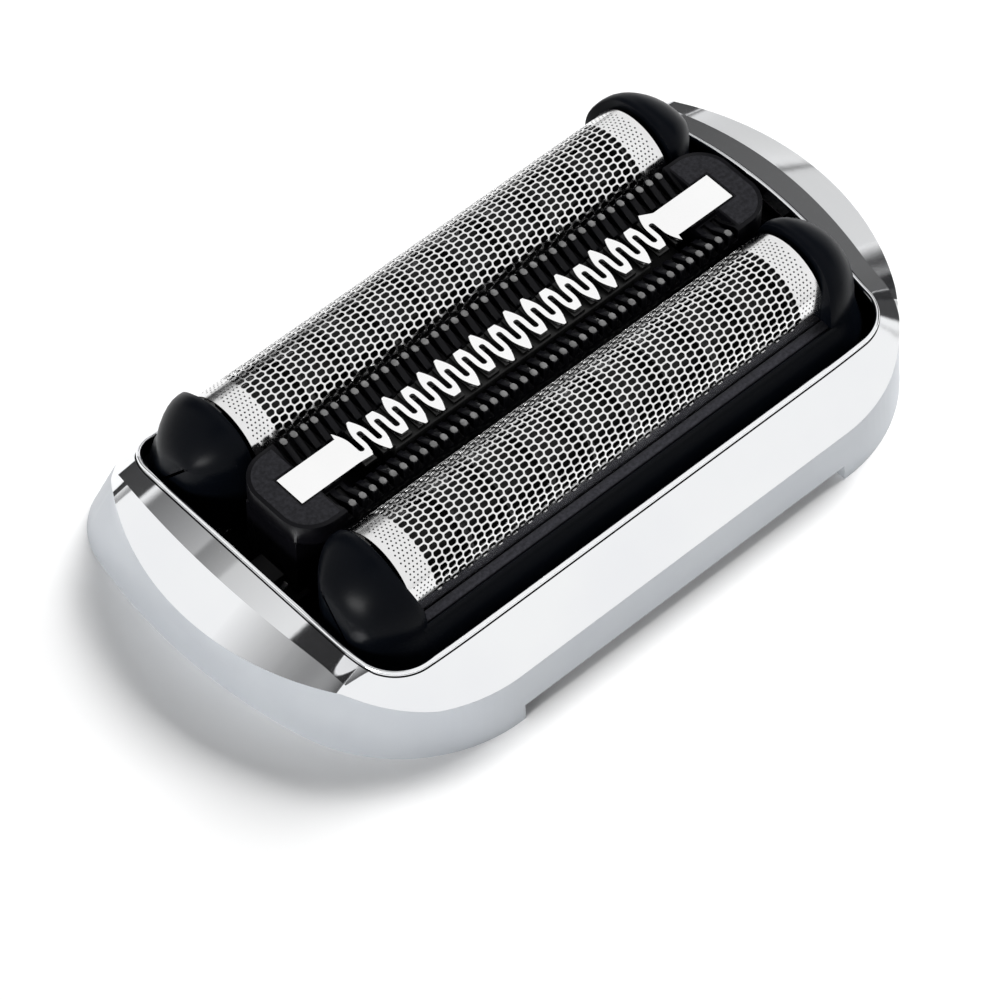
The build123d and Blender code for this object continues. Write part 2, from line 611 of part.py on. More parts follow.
# Cutter under each foil: carrier bar with the drive socket, and its row of lamellae
with BuildPart() as front_cutter_carrier:
    with Locations((0, FRONT_Y, CARRIER_BOTTOM)):
        Box(
            2 * CARRIER_HALF_LENGTH,
            2 * CARRIER_HALF_WIDTH,
            CARRIER_TOP - CARRIER_BOTTOM,
            align=(Align.CENTER, Align.CENTER, Align.MIN),
        )
    with Locations((0, FRONT_Y, BOSS_BOTTOM)):
        Box(2 * BOSS_HALF_WIDTH, 2 * BOSS_HALF_WIDTH, BOSS_DEPTH, align=(Align.CENTER, Align.CENTER, Align.MIN))
        Cylinder(DRIVE_BORE, DRIVE_DEPTH, align=(Align.CENTER, Align.CENTER, Align.MIN), mode=Mode.SUBTRACT)
front_cutter_carrier.part.label = "front_cutter_carrier"
export_step(front_cutter_carrier.part, "parts/front_cutter_carrier.step")

with BuildPart() as rear_cutter_carrier:
    mirror(front_cutter_carrier.part, about=HEAD_PLANE)
rear_cutter_carrier.part.label = "rear_cutter_carrier"
export_step(rear_cutter_carrier.part, "parts/rear_cutter_carrier.step")

with BuildPart() as front_cutter_lamellae:
    with BuildSketch(Plane.YZ.offset(-LAMELLA_THICKNESS / 2)):
        with BuildLine():
            crest = []
            for step in range(LAMELLA_FACETS + 1):
                turn = radians(180 * step / LAMELLA_FACETS)
                crest.append((FRONT_Y + LAMELLA_RADIUS * cos(turn), FOIL_AXIS_Z + LAMELLA_RADIUS * sin(turn)))
            seat = CARRIER_HALF_WIDTH + LAMELLA_FIT
            Polyline(
                *crest,
                (FRONT_Y - LAMELLA_RADIUS, LAMELLA_FOOT_Z),
                (FRONT_Y - seat, LAMELLA_FOOT_Z),
                (FRONT_Y - seat, CARRIER_TOP + LAMELLA_FIT),
                (FRONT_Y + seat, CARRIER_TOP + LAMELLA_FIT),
                (FRONT_Y + seat, LAMELLA_FOOT_Z),
                (FRONT_Y + LAMELLA_RADIUS, LAMELLA_FOOT_Z),
                close=True,
            )
        make_face()
    blade = extrude(amount=LAMELLA_THICKNESS, mode=Mode.PRIVATE)
    with GridLocations(LAMELLA_STEP, 0, LAMELLA_COUNT, 1):
        add(blade)
front_cutter_lamellae.part.label = "front_cutter_lamellae"
export_step(front_cutter_lamellae.part, "parts/front_cutter_lamellae.step")

with BuildPart() as rear_cutter_lamellae:
    mirror(front_cutter_lamellae.part, about=HEAD_PLANE)
rear_cutter_lamellae.part.label = "rear_cutter_lamellae"
export_step(rear_cutter_lamellae.part, "parts/rear_cutter_lamellae.step")

# Trimmer carrier: plate with rounded ends on two posts, channel below, comb teeth on both sides
with BuildPart() as trimmer_carrier:
    with BuildSketch(Plane.XY.offset(TRIMMER_UNDERSIDE)):
        with Locations((0, HEAD_Y)):
            RectangleRounded(2 * TRIMMER_HALF_LENGTH, TRIMMER_WIDTH, TRIMMER_END_ROUND)
    extrude(amount=TRIMMER_TOP - TRIMMER_UNDERSIDE)
    with Locations((0, HEAD_Y, CHANNEL_BOTTOM)):
        Box(
            2 * POST_X,
            2 * (CHANNEL_HALF_WIDTH + CHANNEL_WALL),
            TRIMMER_UNDERSIDE - CHANNEL_BOTTOM,
            align=(Align.CENTER, Align.CENTER, Align.MIN),
        )
        Box(
            2 * SLIDER_SHELF_X,
            2 * CHANNEL_HALF_WIDTH,
            TRIMMER_UNDERSIDE - CHANNEL_BOTTOM,
            align=(Align.CENTER, Align.CENTER, Align.MIN),
            mode=Mode.SUBTRACT,
        )
    with Locations((0, HEAD_Y, SLIDER_SHELF_TOP)):
        Box(
            2 * TRENCH_HALF_LENGTH,
            2 * CHANNEL_HALF_WIDTH,
            TRIMMER_UNDERSIDE - SLIDER_SHELF_TOP,
            align=(Align.CENTER, Align.CENTER, Align.MIN),
            mode=Mode.SUBTRACT,
        )
    for way in (-1, 1):
        with Locations((way * (POST_X + POST_LENGTH / 2), HEAD_Y, FRAME_FOOT)):
            Box(
                POST_LENGTH,
                2 * POST_HALF_WIDTH,
                TRIMMER_UNDERSIDE - FRAME_FOOT,
                align=(Align.CENTER, Align.CENTER, Align.MIN),
            )
        with Locations((way * (POST_X + TONGUE_REACH) / 2, HEAD_Y, FRAME_FOOT)):
            Box(
                TONGUE_REACH - POST_X,
                2 * TONGUE_HALF_WIDTH,
                TONGUE_HEIGHT,
                align=(Align.CENTER, Align.CENTER, Align.MIN),
            )
        with Locations((way * (PLATE_OUTER_X + PLATE_FIT), HEAD_Y, BLADE_BOTTOM)):
            Box(
                PLATE_OUTER_X + PLATE_FIT,
                2 * (PLATE_HALF_WIDTH + PLATE_FIT),
                FAR,
                align=(Align.MAX if way > 0 else Align.MIN, Align.CENTER, Align.MIN),
                mode=Mode.SUBTRACT,
            )
    with Locations((0, HEAD_Y, TRIMMER_UNDERSIDE)):
        Box(
            2 * TRENCH_HALF_LENGTH,
            2 * TRENCH_HALF_WIDTH,
            FAR,
            align=(Align.CENTER, Align.CENTER, Align.MIN),
            mode=Mode.SUBTRACT,
        )
    with BuildSketch(Plane.YZ):
        for way in (-1, 1):
            with BuildLine():
                Polyline(
                    (HEAD_Y + way * PLATE_HALF_WIDTH, COMB_INNER_Z),
                    (HEAD_Y + way * TRENCH_HALF_WIDTH, COMB_INNER_Z),
                    (HEAD_Y + way * COMB_CREST_Y, TRIMMER_TOP),
                    (HEAD_Y + way * PLATE_HALF_WIDTH, TRIMMER_TOP),
                    close=True,
                )
            make_face()
    extrude(amount=COMB_STEP * COMB_COUNT / 2, both=True, mode=Mode.SUBTRACT)
    for way in (-1, 1):
        with Locations((0, HEAD_Y + way * (PLATE_HALF_WIDTH + PLATE_FIT), COMB_FLOOR)):
            with GridLocations(COMB_STEP, 0, COMB_COUNT, 1):
                Box(
                    COMB_STEP * COMB_GAP_SHARE,
                    TRIMMER_WIDTH,
                    FAR,
                    align=(Align.CENTER, Align.MIN if way > 0 else Align.MAX, Align.MIN),
                    mode=Mode.SUBTRACT,
                )
trimmer_carrier.part.label = "trimmer_carrier"
export_step(trimmer_carrier.part, "parts/trimmer_carrier.step")

# Trimmer shear blade: end plates and, between them, slots cut from both sides in turn
FRONT_BLUNT = (1, 4)
REAR_BLUNT = (1, 3)
TOOTH_CYCLE = 5


def slot_places(way):
    """Middle of each slot that opens to one side: the two sides are half a step apart."""
    return [(index - (TOOTH_SLOTS - 1) / 2 - way / 4) * TOOTH_STEP for index in range(TOOTH_SLOTS)]


with BuildPart() as trimmer_shear_blade:
    with BuildSketch(Plane.XY.offset(BLADE_BOTTOM)):
        with Locations((0, HEAD_Y)):
            Rectangle(2 * PLATE_OUTER_X, 2 * PLATE_HALF_WIDTH)
            Rectangle(2 * PLATE_INNER_X, 2 * TOOTH_REACH)
        for way, blunt in ((1, REAR_BLUNT), (-1, FRONT_BLUNT)):
            for index, slot_x in enumerate(slot_places(way)):
                stations = (
                    (SLOT_NARROW, -SLOT_OVERLAP),
                    (SLOT_WIDTH, SLOT_NARROW / 2 - SLOT_OVERLAP),
                    (SLOT_WIDTH, SLOT_FLARE),
                    (SLOT_MOUTH, TOOTH_REACH),
                )
                left = [(slot_x - width / 2, HEAD_Y + way * reach) for width, reach in stations]
                right = [(slot_x + width / 2, HEAD_Y + way * reach) for width, reach in reversed(stations)]
                with BuildLine():
                    Polyline(*left, *right, close=True)
                make_face(mode=Mode.SUBTRACT)
                if index % TOOTH_CYCLE in blunt:
                    with Locations((slot_x + TOOTH_STEP / 2, HEAD_Y + way * TOOTH_REACH)):
                        Rectangle(TOOTH_STEP, 2 * TOOTH_BLUNT, mode=Mode.SUBTRACT)
    extrude(amount=BLADE_THICKNESS)
trimmer_shear_blade.part.label = "trimmer_shear_blade"
export_step(trimmer_shear_blade.part, "parts/trimmer_shear_blade.step")

# Trimmer moving blade, whose teeth rest under the shear blade's, and the slider that carries it
with BuildPart() as trimmer_moving_blade:
    with BuildSketch(Plane.XY.offset(MOVING_BOTTOM)):
        with Locations((0, HEAD_Y)):
            Rectangle(2 * MOVING_HALF_LENGTH, 2 * MOVING_HALF_WIDTH)
        for way in (-1, 1):
            with Locations(*[(slot_x, HEAD_Y - way * MOVING_SLOT_OVERLAP) for slot_x in slot_places(way)]):
                Rectangle(
                    MOVING_SLOT,
                    2 * MOVING_HALF_WIDTH,
                    align=(Align.CENTER, Align.MIN if way > 0 else Align.MAX),
                    mode=Mode.SUBTRACT,
                )
    extrude(amount=BLADE_THICKNESS)
trimmer_moving_blade.part.label = "trimmer_moving_blade"
export_step(trimmer_moving_blade.part, "parts/trimmer_moving_blade.step")

SLIDER_BOTTOM = SLIDER_SHELF_TOP + SLIDER_GAP
with BuildPart() as trimmer_slider:
    with Locations((0, HEAD_Y, SLIDER_BOTTOM)):
        Box(
            2 * SLIDER_HALF_LENGTH,
            2 * SLIDER_HALF_WIDTH,
            MOVING_BOTTOM - SLIDER_BOTTOM,
            align=(Align.CENTER, Align.CENTER, Align.MIN),
        )
        Cylinder(SLIDER_BORE, SLIDER_BORE_DEPTH, align=(Align.CENTER, Align.CENTER, Align.MIN), mode=Mode.SUBTRACT)
trimmer_slider.part.label = "trimmer_slider"
export_step(trimmer_slider.part, "parts/trimmer_slider.step")

# Float springs: one hairpin at each end of each floating unit
SPRING_TOP = FRAME_FOOT - SPRING_GAP


def hairpin_points(inset):
    """Corners of a hairpin's bend and legs, moved inward by part of the strip's thickness."""
    low = CHASSIS_TOP + inset
    high = SPRING_TOP - inset
    bend = SPRING_BEND_X + SPRING_CORNER - inset
    straight = SPRING_BEND_X - inset * tan(pi / 8)
    return [
        (SPRING_LEG_X, low),
        (straight, low),
        (bend, low + bend - straight),
        (bend, high - bend + straight),
        (straight, high),
        (SPRING_LEG_X, high),
    ]


with BuildPart() as hairpin:
    with BuildSketch(Plane.XZ):
        with BuildLine():
            Polyline(*hairpin_points(0), *reversed(hairpin_points(SPRING_STRIP)), close=True)
        make_face()
    extrude(amount=SPRING_WIDTH / 2, both=True)
    mirror(about=Plane.YZ)

with BuildPart() as front_foil_springs:
    add(hairpin.part.moved(Location((0, FRONT_Y, 0))))
front_foil_springs.part.label = "front_foil_springs"
export_step(front_foil_springs.part, "parts/front_foil_springs.step")

with BuildPart() as rear_foil_springs:
    mirror(front_foil_springs.part, about=HEAD_PLANE)
rear_foil_springs.part.label = "rear_foil_springs"
export_step(rear_foil_springs.part, "parts/rear_foil_springs.step")

with BuildPart() as trimmer_springs:
    add(hairpin.part.moved(Location((0, HEAD_Y, 0))))
trimmer_springs.part.label = "trimmer_springs"
export_step(trimmer_springs.part, "parts/trimmer_springs.step")
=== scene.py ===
"""Shaver foil head, seen from the front left and above.

The ring wall and the inner pieces are welded copies of the CAD nodes with softened edges. The
bezel, the foils, their frames and the trimmer's wave blade are rebuilt here, because their curves,
holes and teeth are finer than in the CAD. Lengths are in millimetres and become metres in each mesh.
"""

import bisect
import math

import bmesh
import bpy
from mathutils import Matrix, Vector


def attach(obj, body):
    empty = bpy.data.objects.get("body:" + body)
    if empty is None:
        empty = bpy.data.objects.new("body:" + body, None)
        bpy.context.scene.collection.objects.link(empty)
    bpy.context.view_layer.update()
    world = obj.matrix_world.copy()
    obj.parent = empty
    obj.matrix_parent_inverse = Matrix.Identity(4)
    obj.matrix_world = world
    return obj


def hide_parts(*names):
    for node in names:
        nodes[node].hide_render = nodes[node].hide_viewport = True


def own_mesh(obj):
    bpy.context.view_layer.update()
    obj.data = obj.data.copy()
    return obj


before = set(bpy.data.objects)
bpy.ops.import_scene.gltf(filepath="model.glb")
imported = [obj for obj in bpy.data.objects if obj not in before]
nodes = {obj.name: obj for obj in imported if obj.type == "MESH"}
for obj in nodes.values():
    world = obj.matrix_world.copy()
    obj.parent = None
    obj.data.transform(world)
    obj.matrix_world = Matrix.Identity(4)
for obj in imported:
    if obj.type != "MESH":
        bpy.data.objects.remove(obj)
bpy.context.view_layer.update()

MM = 0.001

# Mesh tolerances, in millimetres and degrees
WELD_DISTANCE = 0.001
MERGE_DISTANCE = 0.002
FLAT_ANGLE = 0.5
CRISP_ANGLE = 30
FOIL_CRISP_ANGLE = 35
FRAME_CRISP_ANGLE = 40
BLADE_CRISP_ANGLE = 45
BLADE_EDGE = 0.03
LAND_BEVEL = 0.02

# Surface grain
GRAIN_SIZE = 0.2
WEAR_SIZE = 6.0
WEAR_LOW = 0.35
WEAR_HIGH = 0.65
GRAIN_RELIEF = 0.3

# Places shared with the CAD
HEAD_Y = 0.98
FRONT_Y = -6.87
REAR_Y = 8.83

# Foils and their pattern of holes
FOIL_AXIS_Z = 9.3
FOIL_RADIUS = 3.75
FOIL_THICKNESS = 0.1
FOIL_HALF_LENGTH = 19.4
FOIL_SKIRT_Z = 6.9
FOIL_EDGE_STEP = 0.3
HOLE_PITCH_ALONG = 1.38
HOLE_PITCH_AROUND = 0.275
HOLE_COLUMNS = 25
HOLE_ROWS = 41
HOLE_POINT = 0.34
HOLE_SHOULDER = 0.24
HOLE_HALF_WIDTH = 0.215
HOLE_ROUND = 0.09
DOT_PITCH = 0.33
DOT_RADIUS = 0.075
DOT_COLUMNS = 5
DOT_ROWS = 34
PLAIN_END = 0.42

# Foil frames
FRAME_FOOT = 4.6
FRAME_BOTTOM = 4.2
EAR_AXIS_Z = 8.55
EAR_RADIUS = 4.95
EAR_TRIMMER_SIDE = 3.65
EAR_SIDE_ROUND = 2.9
FLARE_REACH = 1.0
FLARE_FOOT_Z = 6.0
SWING_START = 118
SWING_SPAN = 58
FOIL_SEAT = 3.78
LEDGE_Z = 8.05
BORDER_Y = 4.74
BORDER_Z = 8.5
BORDER_ROUND = ((0.0, 0.1), (0.06, 0.02), (0.16, 0.0))
BORDER_DROP = 0.12
INNER_WALL_Y = 4.45
INNER_WALL_Z = 7.8
INNER_WALL_CHAMFER = (0.1, 0.3)
INNER_WALL_END = 20.0
WALL_END = 19.5
SHELF = (17.4, 20.2, 2.0, 5.4)
TONGUE = (21.0, 24.7, 1.2, 5.4)

# Trimmer
TRIMMER_TOP = 12.0
TRIMMER_HALF_WIDTH = 3.9
TRIMMER_HALF_LENGTH = 22.2
TRIMMER_END_ROUND = 2.6
BLADE_TOP = 12.05
BLADE_THICKNESS = 0.3
PLATE_OUTER_X = 20.25
PLATE_INNER_X = 15.0
PLATE_HALF_WIDTH = 1.33
TOOTH_SLOTS = 18
TOOTH_STEP = 1.62
TOOTH_REACH = 1.85
TOOTH_BLUNT = 0.42
TOOTH_CYCLE = 5
FRONT_BLUNT = (1, 4)
REAR_BLUNT = (1, 3)
SLOT_HALF = 0.21
SLOT_MOUTH_HALF = 0.7
SLOT_OVERLAP = 0.75
SLOT_FLARE = 0.35
SLOT_CURVE = 1.7
COMB_STEP = 0.93
COMB_CAPS = 39
COMB_CAP_Y = 3.55
COMB_CAP_SIZE = (0.62, 0.8, 0.18)
LAND_START = 18.75
LAND_EDGE = 0.32
LAND_HEIGHT = 0.035
POCKET_HALF_WIDTH = 1.52
POCKET_END = 20.45

# Mirror bezel
OUTER_FORM = (29.9, -17.19, 15.98, 12.5, 5.0, 21.8)
OPENING_FORM = (24.5, -13.37, 14.88, 3.2, 3.2, 90.0)
STRETCH_STEPS = (10, 70, 120, 46, 8)
FRONT_TURN_X = 15.47
OUTER_REAR_TURN_X = 21.6
OPENING_REAR_TURN_X = 21.0
BAND_FRONT_Y = -9.2
BAND_REAR_Y = 13.3
BAND_X = 24.57
BAND_Z = 8.6
BAND_SLOPE = 11.0
BAND_ARCH = 41.0
CREASE_REACH = 2.29
CREASE_BOW = 0.0098
FRONT_RIM_Z = 7.28
REAR_RIM_Z = 5.44
WALL_EDGE = ((-15.62, 4.7), (-11.02, 6.45), (12.38, 6.45), (14.88, 4.7))
EDGE_LAP = 0.02
TIP_FRONT = 0.72
TIP_REAR = 0.4
RIM_DEPTH = 1.35
SKIRT_INSET = 0.15
SKIRT_DEPTH = 0.5
TURN_ROUNDS = 24
TURN_REACH = 14
LIP_RADIUS = 0.17
LIP_SET_BACK = 0.16
# A black bead just under the bezel's face beside the lip is a painted shade line
SHADE_LINE_SET_BACK = 0.42
SHADE_LINE_RADIUS = 0.07
SHADE_LINE_SINK = 0.03
BEAD_SIDES = 10

# Stage, in metres and watts
FLOOR_SIZE = 6.0
FLOOR_GREY = 0.96
FLOOR_GLOW = 0.05
AMBIENT_LIGHT = 0.1
WALL_DISTANCE = 0.6
CARD_COLOUR = (0.004, 0.004, 0.005, 1.0)
WHITE = (1.0, 1.0, 1.0, 1.0)


# Shader helpers
def new_material(name):
    """An empty node material with a Principled shader and its output."""
    material = bpy.data.materials.new(name)
    material.use_nodes = True
    tree = material.node_tree
    return material, tree, tree.nodes["Principled BSDF"]


def put(tree, kind, inputs=None, **settings):
    """Adds a node, sets its properties, and fills its inputs with values or links."""
    node = tree.nodes.new(kind)
    for key, value in settings.items():
        setattr(node, key, value)
    for key, value in (inputs or {}).items():
        if isinstance(value, bpy.types.NodeSocket):
            tree.links.new(value, node.inputs[key])
        else:
            node.inputs[key].default_value = value
    return node


def math_node(tree, operation, first, second=0.0):
    """One arithmetic node and its result."""
    return put(tree, "ShaderNodeMath", {0: first, 1: second}, operation=operation).outputs[0]


def grain_group():
    """Fine surface grain from object coordinates: a height and a slow wear mask."""
    group = bpy.data.node_groups.new("surface_grain", "ShaderNodeTree")
    face = group.interface
    size = face.new_socket("Grain Size", in_out="INPUT", socket_type="NodeSocketFloat")
    size.default_value = GRAIN_SIZE
    wear = face.new_socket("Wear Size", in_out="INPUT", socket_type="NodeSocketFloat")
    wear.default_value = WEAR_SIZE
    face.new_socket("Height", in_out="OUTPUT", socket_type="NodeSocketFloat")
    face.new_socket("Wear", in_out="OUTPUT", socket_type="NodeSocketFloat")
    entry = group.nodes.new("NodeGroupInput")
    leave = group.nodes.new("NodeGroupOutput")
    place = put(group, "ShaderNodeTexCoord").outputs["Object"]
    per_metre = math_node(group, "DIVIDE", 1.0 / MM, entry.outputs["Grain Size"])
    fine = put(group, "ShaderNodeTexNoise", {"Vector": place, "Scale": per_metre, "Detail": 3.0})
    per_wear = math_node(group, "DIVIDE", 1.0 / MM, entry.outputs["Wear Size"])
    slow = put(group, "ShaderNodeTexNoise", {"Vector": place, "Scale": per_wear, "Detail": 4.0})
    group.links.new(fine.outputs["Fac"], leave.inputs["Height"])
    group.links.new(slow.outputs["Fac"], leave.inputs["Wear"])
    return group


GRAIN = grain_group()


def grained(name, colours, roughness, grain, bump, metallic=0.0, wear=WEAR_SIZE, specular=0.5):
    """A finish whose colour and roughness drift between two values under a fine grain."""
    material, tree, shader = new_material(name)
    group = put(tree, "ShaderNodeGroup", node_tree=GRAIN)
    group.inputs["Grain Size"].default_value = grain
    group.inputs["Wear Size"].default_value = wear
    drift = {"Value": group.outputs["Wear"], "From Min": WEAR_LOW, "From Max": WEAR_HIGH}
    share = put(tree, "ShaderNodeMapRange", drift).outputs["Result"]
    light, dark = colours
    tint = put(
        tree,
        "ShaderNodeMix",
        {"Factor": share, "A": (*dark, 1.0), "B": (*light, 1.0)},
        data_type="RGBA",
    )
    sheen = put(tree, "ShaderNodeMapRange", {**drift, "To Min": roughness[0], "To Max": roughness[1]})
    relief = put(
        tree,
        "ShaderNodeBump",
        {"Height": group.outputs["Height"], "Strength": bump, "Distance": grain * MM * GRAIN_RELIEF},
    )
    tree.links.new(tint.outputs["Result"], shader.inputs["Base Color"])
    tree.links.new(sheen.outputs["Result"], shader.inputs["Roughness"])
    tree.links.new(relief.outputs["Normal"], shader.inputs["Normal"])
    shader.inputs["Metallic"].default_value = metallic
    shader.inputs["Specular IOR Level"].default_value = specular
    return material


def grey(level, blue=1.0):
    """A neutral colour, or a slightly bluish one."""
    return level, level, level * blue


# Finishes
satin_silver = grained(
    "satin_silver_paint",
    ((0.54, 0.565, 0.595), (0.51, 0.535, 0.57)),
    roughness=(0.36, 0.42),
    grain=0.12,
    bump=0.1,
    metallic=0.3,
)
mirror_chrome = grained(
    "mirror_chrome_plate",
    ((0.88, 0.89, 0.9), (0.85, 0.86, 0.88)),
    roughness=(0.03, 0.06),
    grain=0.8,
    bump=0.003,
    metallic=1.0,
    wear=9.0,
)
black_inner = grained(
    "black_inner_moulding",
    (grey(0.003, 1.2), grey(0.002, 1.2)),
    roughness=(0.45, 0.55),
    grain=0.15,
    bump=0.15,
    specular=0.05,
)
black_frame = grained(
    "black_frame_moulding",
    ((0.0018, 0.0025, 0.0042), (0.0014, 0.002, 0.0034)),
    roughness=(0.3, 0.38),
    grain=0.2,
    bump=0.06,
    specular=0.055,
)
trimmer_black = grained(
    "black_trimmer_moulding",
    (grey(0.003, 1.4), grey(0.002, 1.4)),
    roughness=(0.28, 0.36),
    grain=0.2,
    bump=0.08,
    specular=0.13,
)
nickel_foil = grained(
    "bright_nickel_foil",
    (grey(0.84), grey(0.78)),
    roughness=(0.14, 0.22),
    grain=0.2,
    bump=0.04,
    metallic=1.0,
    wear=3.0,
)
grey_ledge = grained(
    "grey_ledge_strip",
    (grey(0.038, 1.2), grey(0.018, 1.2)),
    roughness=(0.5, 0.6),
    grain=0.12,
    bump=0.6,
    wear=0.25,
    specular=0.16,
)
textured_land = grained(
    "textured_black_land",
    (grey(0.024, 1.15), grey(0.012, 1.15)),
    roughness=(0.5, 0.62),
    grain=0.13,
    bump=0.7,
    wear=0.3,
    specular=0.1,
)
# Light grey of the comb tops, a painted highlight on the black plastic
comb_highlight_grey = grained(
    "comb_tops_painted_highlight",
    (grey(0.2), grey(0.12)),
    roughness=(0.4, 0.5),
    grain=0.1,
    bump=0.3,
    wear=0.5,
    specular=0.4,
)
cutter_plastic = grained(
    "dark_cutter_plastic",
    (grey(0.012), grey(0.008)),
    roughness=(0.45, 0.52),
    grain=0.2,
    bump=0.15,
    specular=0.25,
)
dark_steel = grained(
    "shaded_moving_steel",
    (grey(0.05), grey(0.03)),
    roughness=(0.35, 0.45),
    grain=0.15,
    bump=0.1,
    metallic=1.0,
)
polished_steel = grained(
    "polished_shear_steel",
    (grey(0.96), grey(0.93)),
    roughness=(0.1, 0.16),
    grain=0.3,
    bump=0.02,
    metallic=1.0,
)
spring_steel = grained(
    "drawn_spring_steel",
    (grey(0.5), grey(0.42)),
    roughness=(0.28, 0.36),
    grain=0.1,
    bump=0.08,
    metallic=1.0,
)


# Piece helpers
def link(name, mesh):
    """A new object with a mesh, in the scene."""
    piece = bpy.data.objects.new(name, mesh)
    bpy.context.scene.collection.objects.link(piece)
    return piece


def settle(piece):
    """Bakes a piece's modifiers into its mesh."""
    graph = bpy.context.evaluated_depsgraph_get()
    mesh = bpy.data.meshes.new_from_object(piece.evaluated_get(graph), depsgraph=graph)
    piece.modifiers.clear()
    piece.data = mesh
    return piece


def smooth(piece, degrees):
    """Smooth shading that stays crisp at edges sharper than the angle."""
    mesh = piece.data
    mesh.polygons.foreach_set("use_smooth", [True] * len(mesh.polygons))
    mesh.set_sharp_from_angle(angle=math.radians(degrees))


def bevel(piece, width, segments=2, degrees=CRISP_ANGLE):
    """Rounds the edges that are sharper than the angle."""
    edge = piece.modifiers.new("edges", "BEVEL")
    edge.width = width * MM
    edge.segments = segments
    edge.limit_method = "ANGLE"
    edge.angle_limit = math.radians(degrees)


def finish_piece(piece, look, body, slot, *replaced):
    """Gives a piece its finish and its body, and hides the nodes that it stands for. The slot is not used.
    """
    if look:
        piece.data.materials.clear()
        piece.data.materials.append(look)
    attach(piece, body)
    if replaced:
        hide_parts(*replaced)


# CAD nodes kept as welded copies with softened edges
def soften(node, body, slot, look, width):
    """A copy of a CAD node with merged points, rounded edges and smooth shading."""
    piece = link(node + "_dressed", nodes[node].data.copy())
    weld = piece.modifiers.new("weld", "WELD")
    weld.merge_threshold = WELD_DISTANCE * MM
    if width:
        flat = piece.modifiers.new("flat", "DECIMATE")
        flat.decimate_type = "DISSOLVE"
        flat.angle_limit = math.radians(FLAT_ANGLE)
        bevel(piece, width)
    settle(piece)
    smooth(piece, CRISP_ANGLE)
    finish_piece(piece, look, body, slot, node)
    return piece


# Node, body, slot, finish and edge width of each copy
KEPT_NODES = (
    ("outer_frame", "frame", "satin_silver", satin_silver, 0.0),
    ("chassis", "frame", "black_inner", black_inner, 0.1),
    ("front_ledge_strip", "front_foil_unit", "grey_ledge", grey_ledge, 0.12),
    ("rear_ledge_strip", "rear_foil_unit", "grey_ledge", grey_ledge, 0.12),
    ("trimmer_carrier", "trimmer_unit", "black_frame", trimmer_black, 0.05),
    ("front_cutter_carrier", "front_cutter", "cutter_plastic", cutter_plastic, 0.15),
    ("rear_cutter_carrier", "rear_cutter", "cutter_plastic", cutter_plastic, 0.15),
    ("front_cutter_lamellae", "front_cutter", "blade_steel", dark_steel, 0.04),
    ("rear_cutter_lamellae", "rear_cutter", "blade_steel", dark_steel, 0.04),
    ("trimmer_moving_blade", "trimmer_cutter", "blade_steel", dark_steel, 0.03),
    ("trimmer_slider", "trimmer_cutter", "cutter_plastic", cutter_plastic, 0.12),
)
for node, body, slot, look, width in KEPT_NODES:
    soften(node, body, slot, look, width)

# Springs that carry the units, each listed with its joint
SPRINGS = (
    ("front_foil_springs", "front_foil_float"),
    ("rear_foil_springs", "rear_foil_float"),
    ("trimmer_springs", "trimmer_float"),
)
for node, joint in SPRINGS:
    pair = soften(node, "frame", "spring_steel", spring_steel, 0.04)
    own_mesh(pair)


# Foils: a tree that cuts the holes from a flat sheet and bends it over the cutter
def inputs_of(tree, floats=(), integers=()):
    """Declares a tree's named inputs, its material and its result."""
    face = tree.interface
    face.new_socket("Geometry", in_out="OUTPUT", socket_type="NodeSocketGeometry")
    face.new_socket("Seed", in_out="INPUT", socket_type="NodeSocketGeometry")
    for label in floats:
        face.new_socket(label, in_out="INPUT", socket_type="NodeSocketFloat")
    for label in integers:
        face.new_socket(label, in_out="INPUT", socket_type="NodeSocketInt")
    face.new_socket("Material", in_out="INPUT", socket_type="NodeSocketMaterial")
    return tree.nodes.new("NodeGroupInput").outputs


def end_tree(tree, entry, geometry):
    """Makes instances real, sets the material and gives the result."""
    solid = put(tree, "GeometryNodeRealizeInstances", {"Geometry": geometry})
    dressed = put(
        tree,
        "GeometryNodeSetMaterial",
        {"Geometry": solid.outputs[0], "Material": entry["Material"]},
    )
    leave = tree.nodes.new("NodeGroupOutput")
    tree.links.new(dressed.outputs[0], leave.inputs["Geometry"])


def joined(tree, parts):
    """Several geometries as one."""
    every = tree.nodes.new("GeometryNodeJoinGeometry")
    for part in parts:
        tree.links.new(part, every.inputs[0])
    return every.outputs[0]


def lattice(tree, entry, columns, rows, along, around, shape):
    """Copies of a closed curve on a staggered grid, made real."""
    last_column = math_node(tree, "SUBTRACT", entry[columns], 1.0)
    last_row = math_node(tree, "SUBTRACT", entry[rows], 1.0)
    grid = put(
        tree,
        "GeometryNodeMeshGrid",
        {
            "Size X": math_node(tree, "MULTIPLY", last_column, entry[along]),
            "Size Y": math_node(tree, "MULTIPLY", last_row, entry[around]),
            "Vertices X": entry[columns],
            "Vertices Y": entry[rows],
        },
    )
    index = put(tree, "GeometryNodeInputIndex").outputs[0]
    odd = math_node(tree, "MODULO", math_node(tree, "MODULO", index, entry[rows]), 2.0)
    centred = math_node(tree, "SUBTRACT", odd, 0.5)
    shift = math_node(tree, "MULTIPLY", math_node(tree, "MULTIPLY", centred, entry[along]), 0.5)
    offset = put(tree, "ShaderNodeCombineXYZ", {"X": shift})
    points = put(
        tree,
        "GeometryNodeSetPosition",
        {"Geometry": grid.outputs[0], "Offset": offset.outputs[0]},
    )
    copies = put(
        tree,
        "GeometryNodeInstanceOnPoints",
        {"Points": points.outputs[0], "Instance": shape},
    )
    return put(tree, "GeometryNodeRealizeInstances", {"Geometry": copies.outputs[0]}).outputs[0]


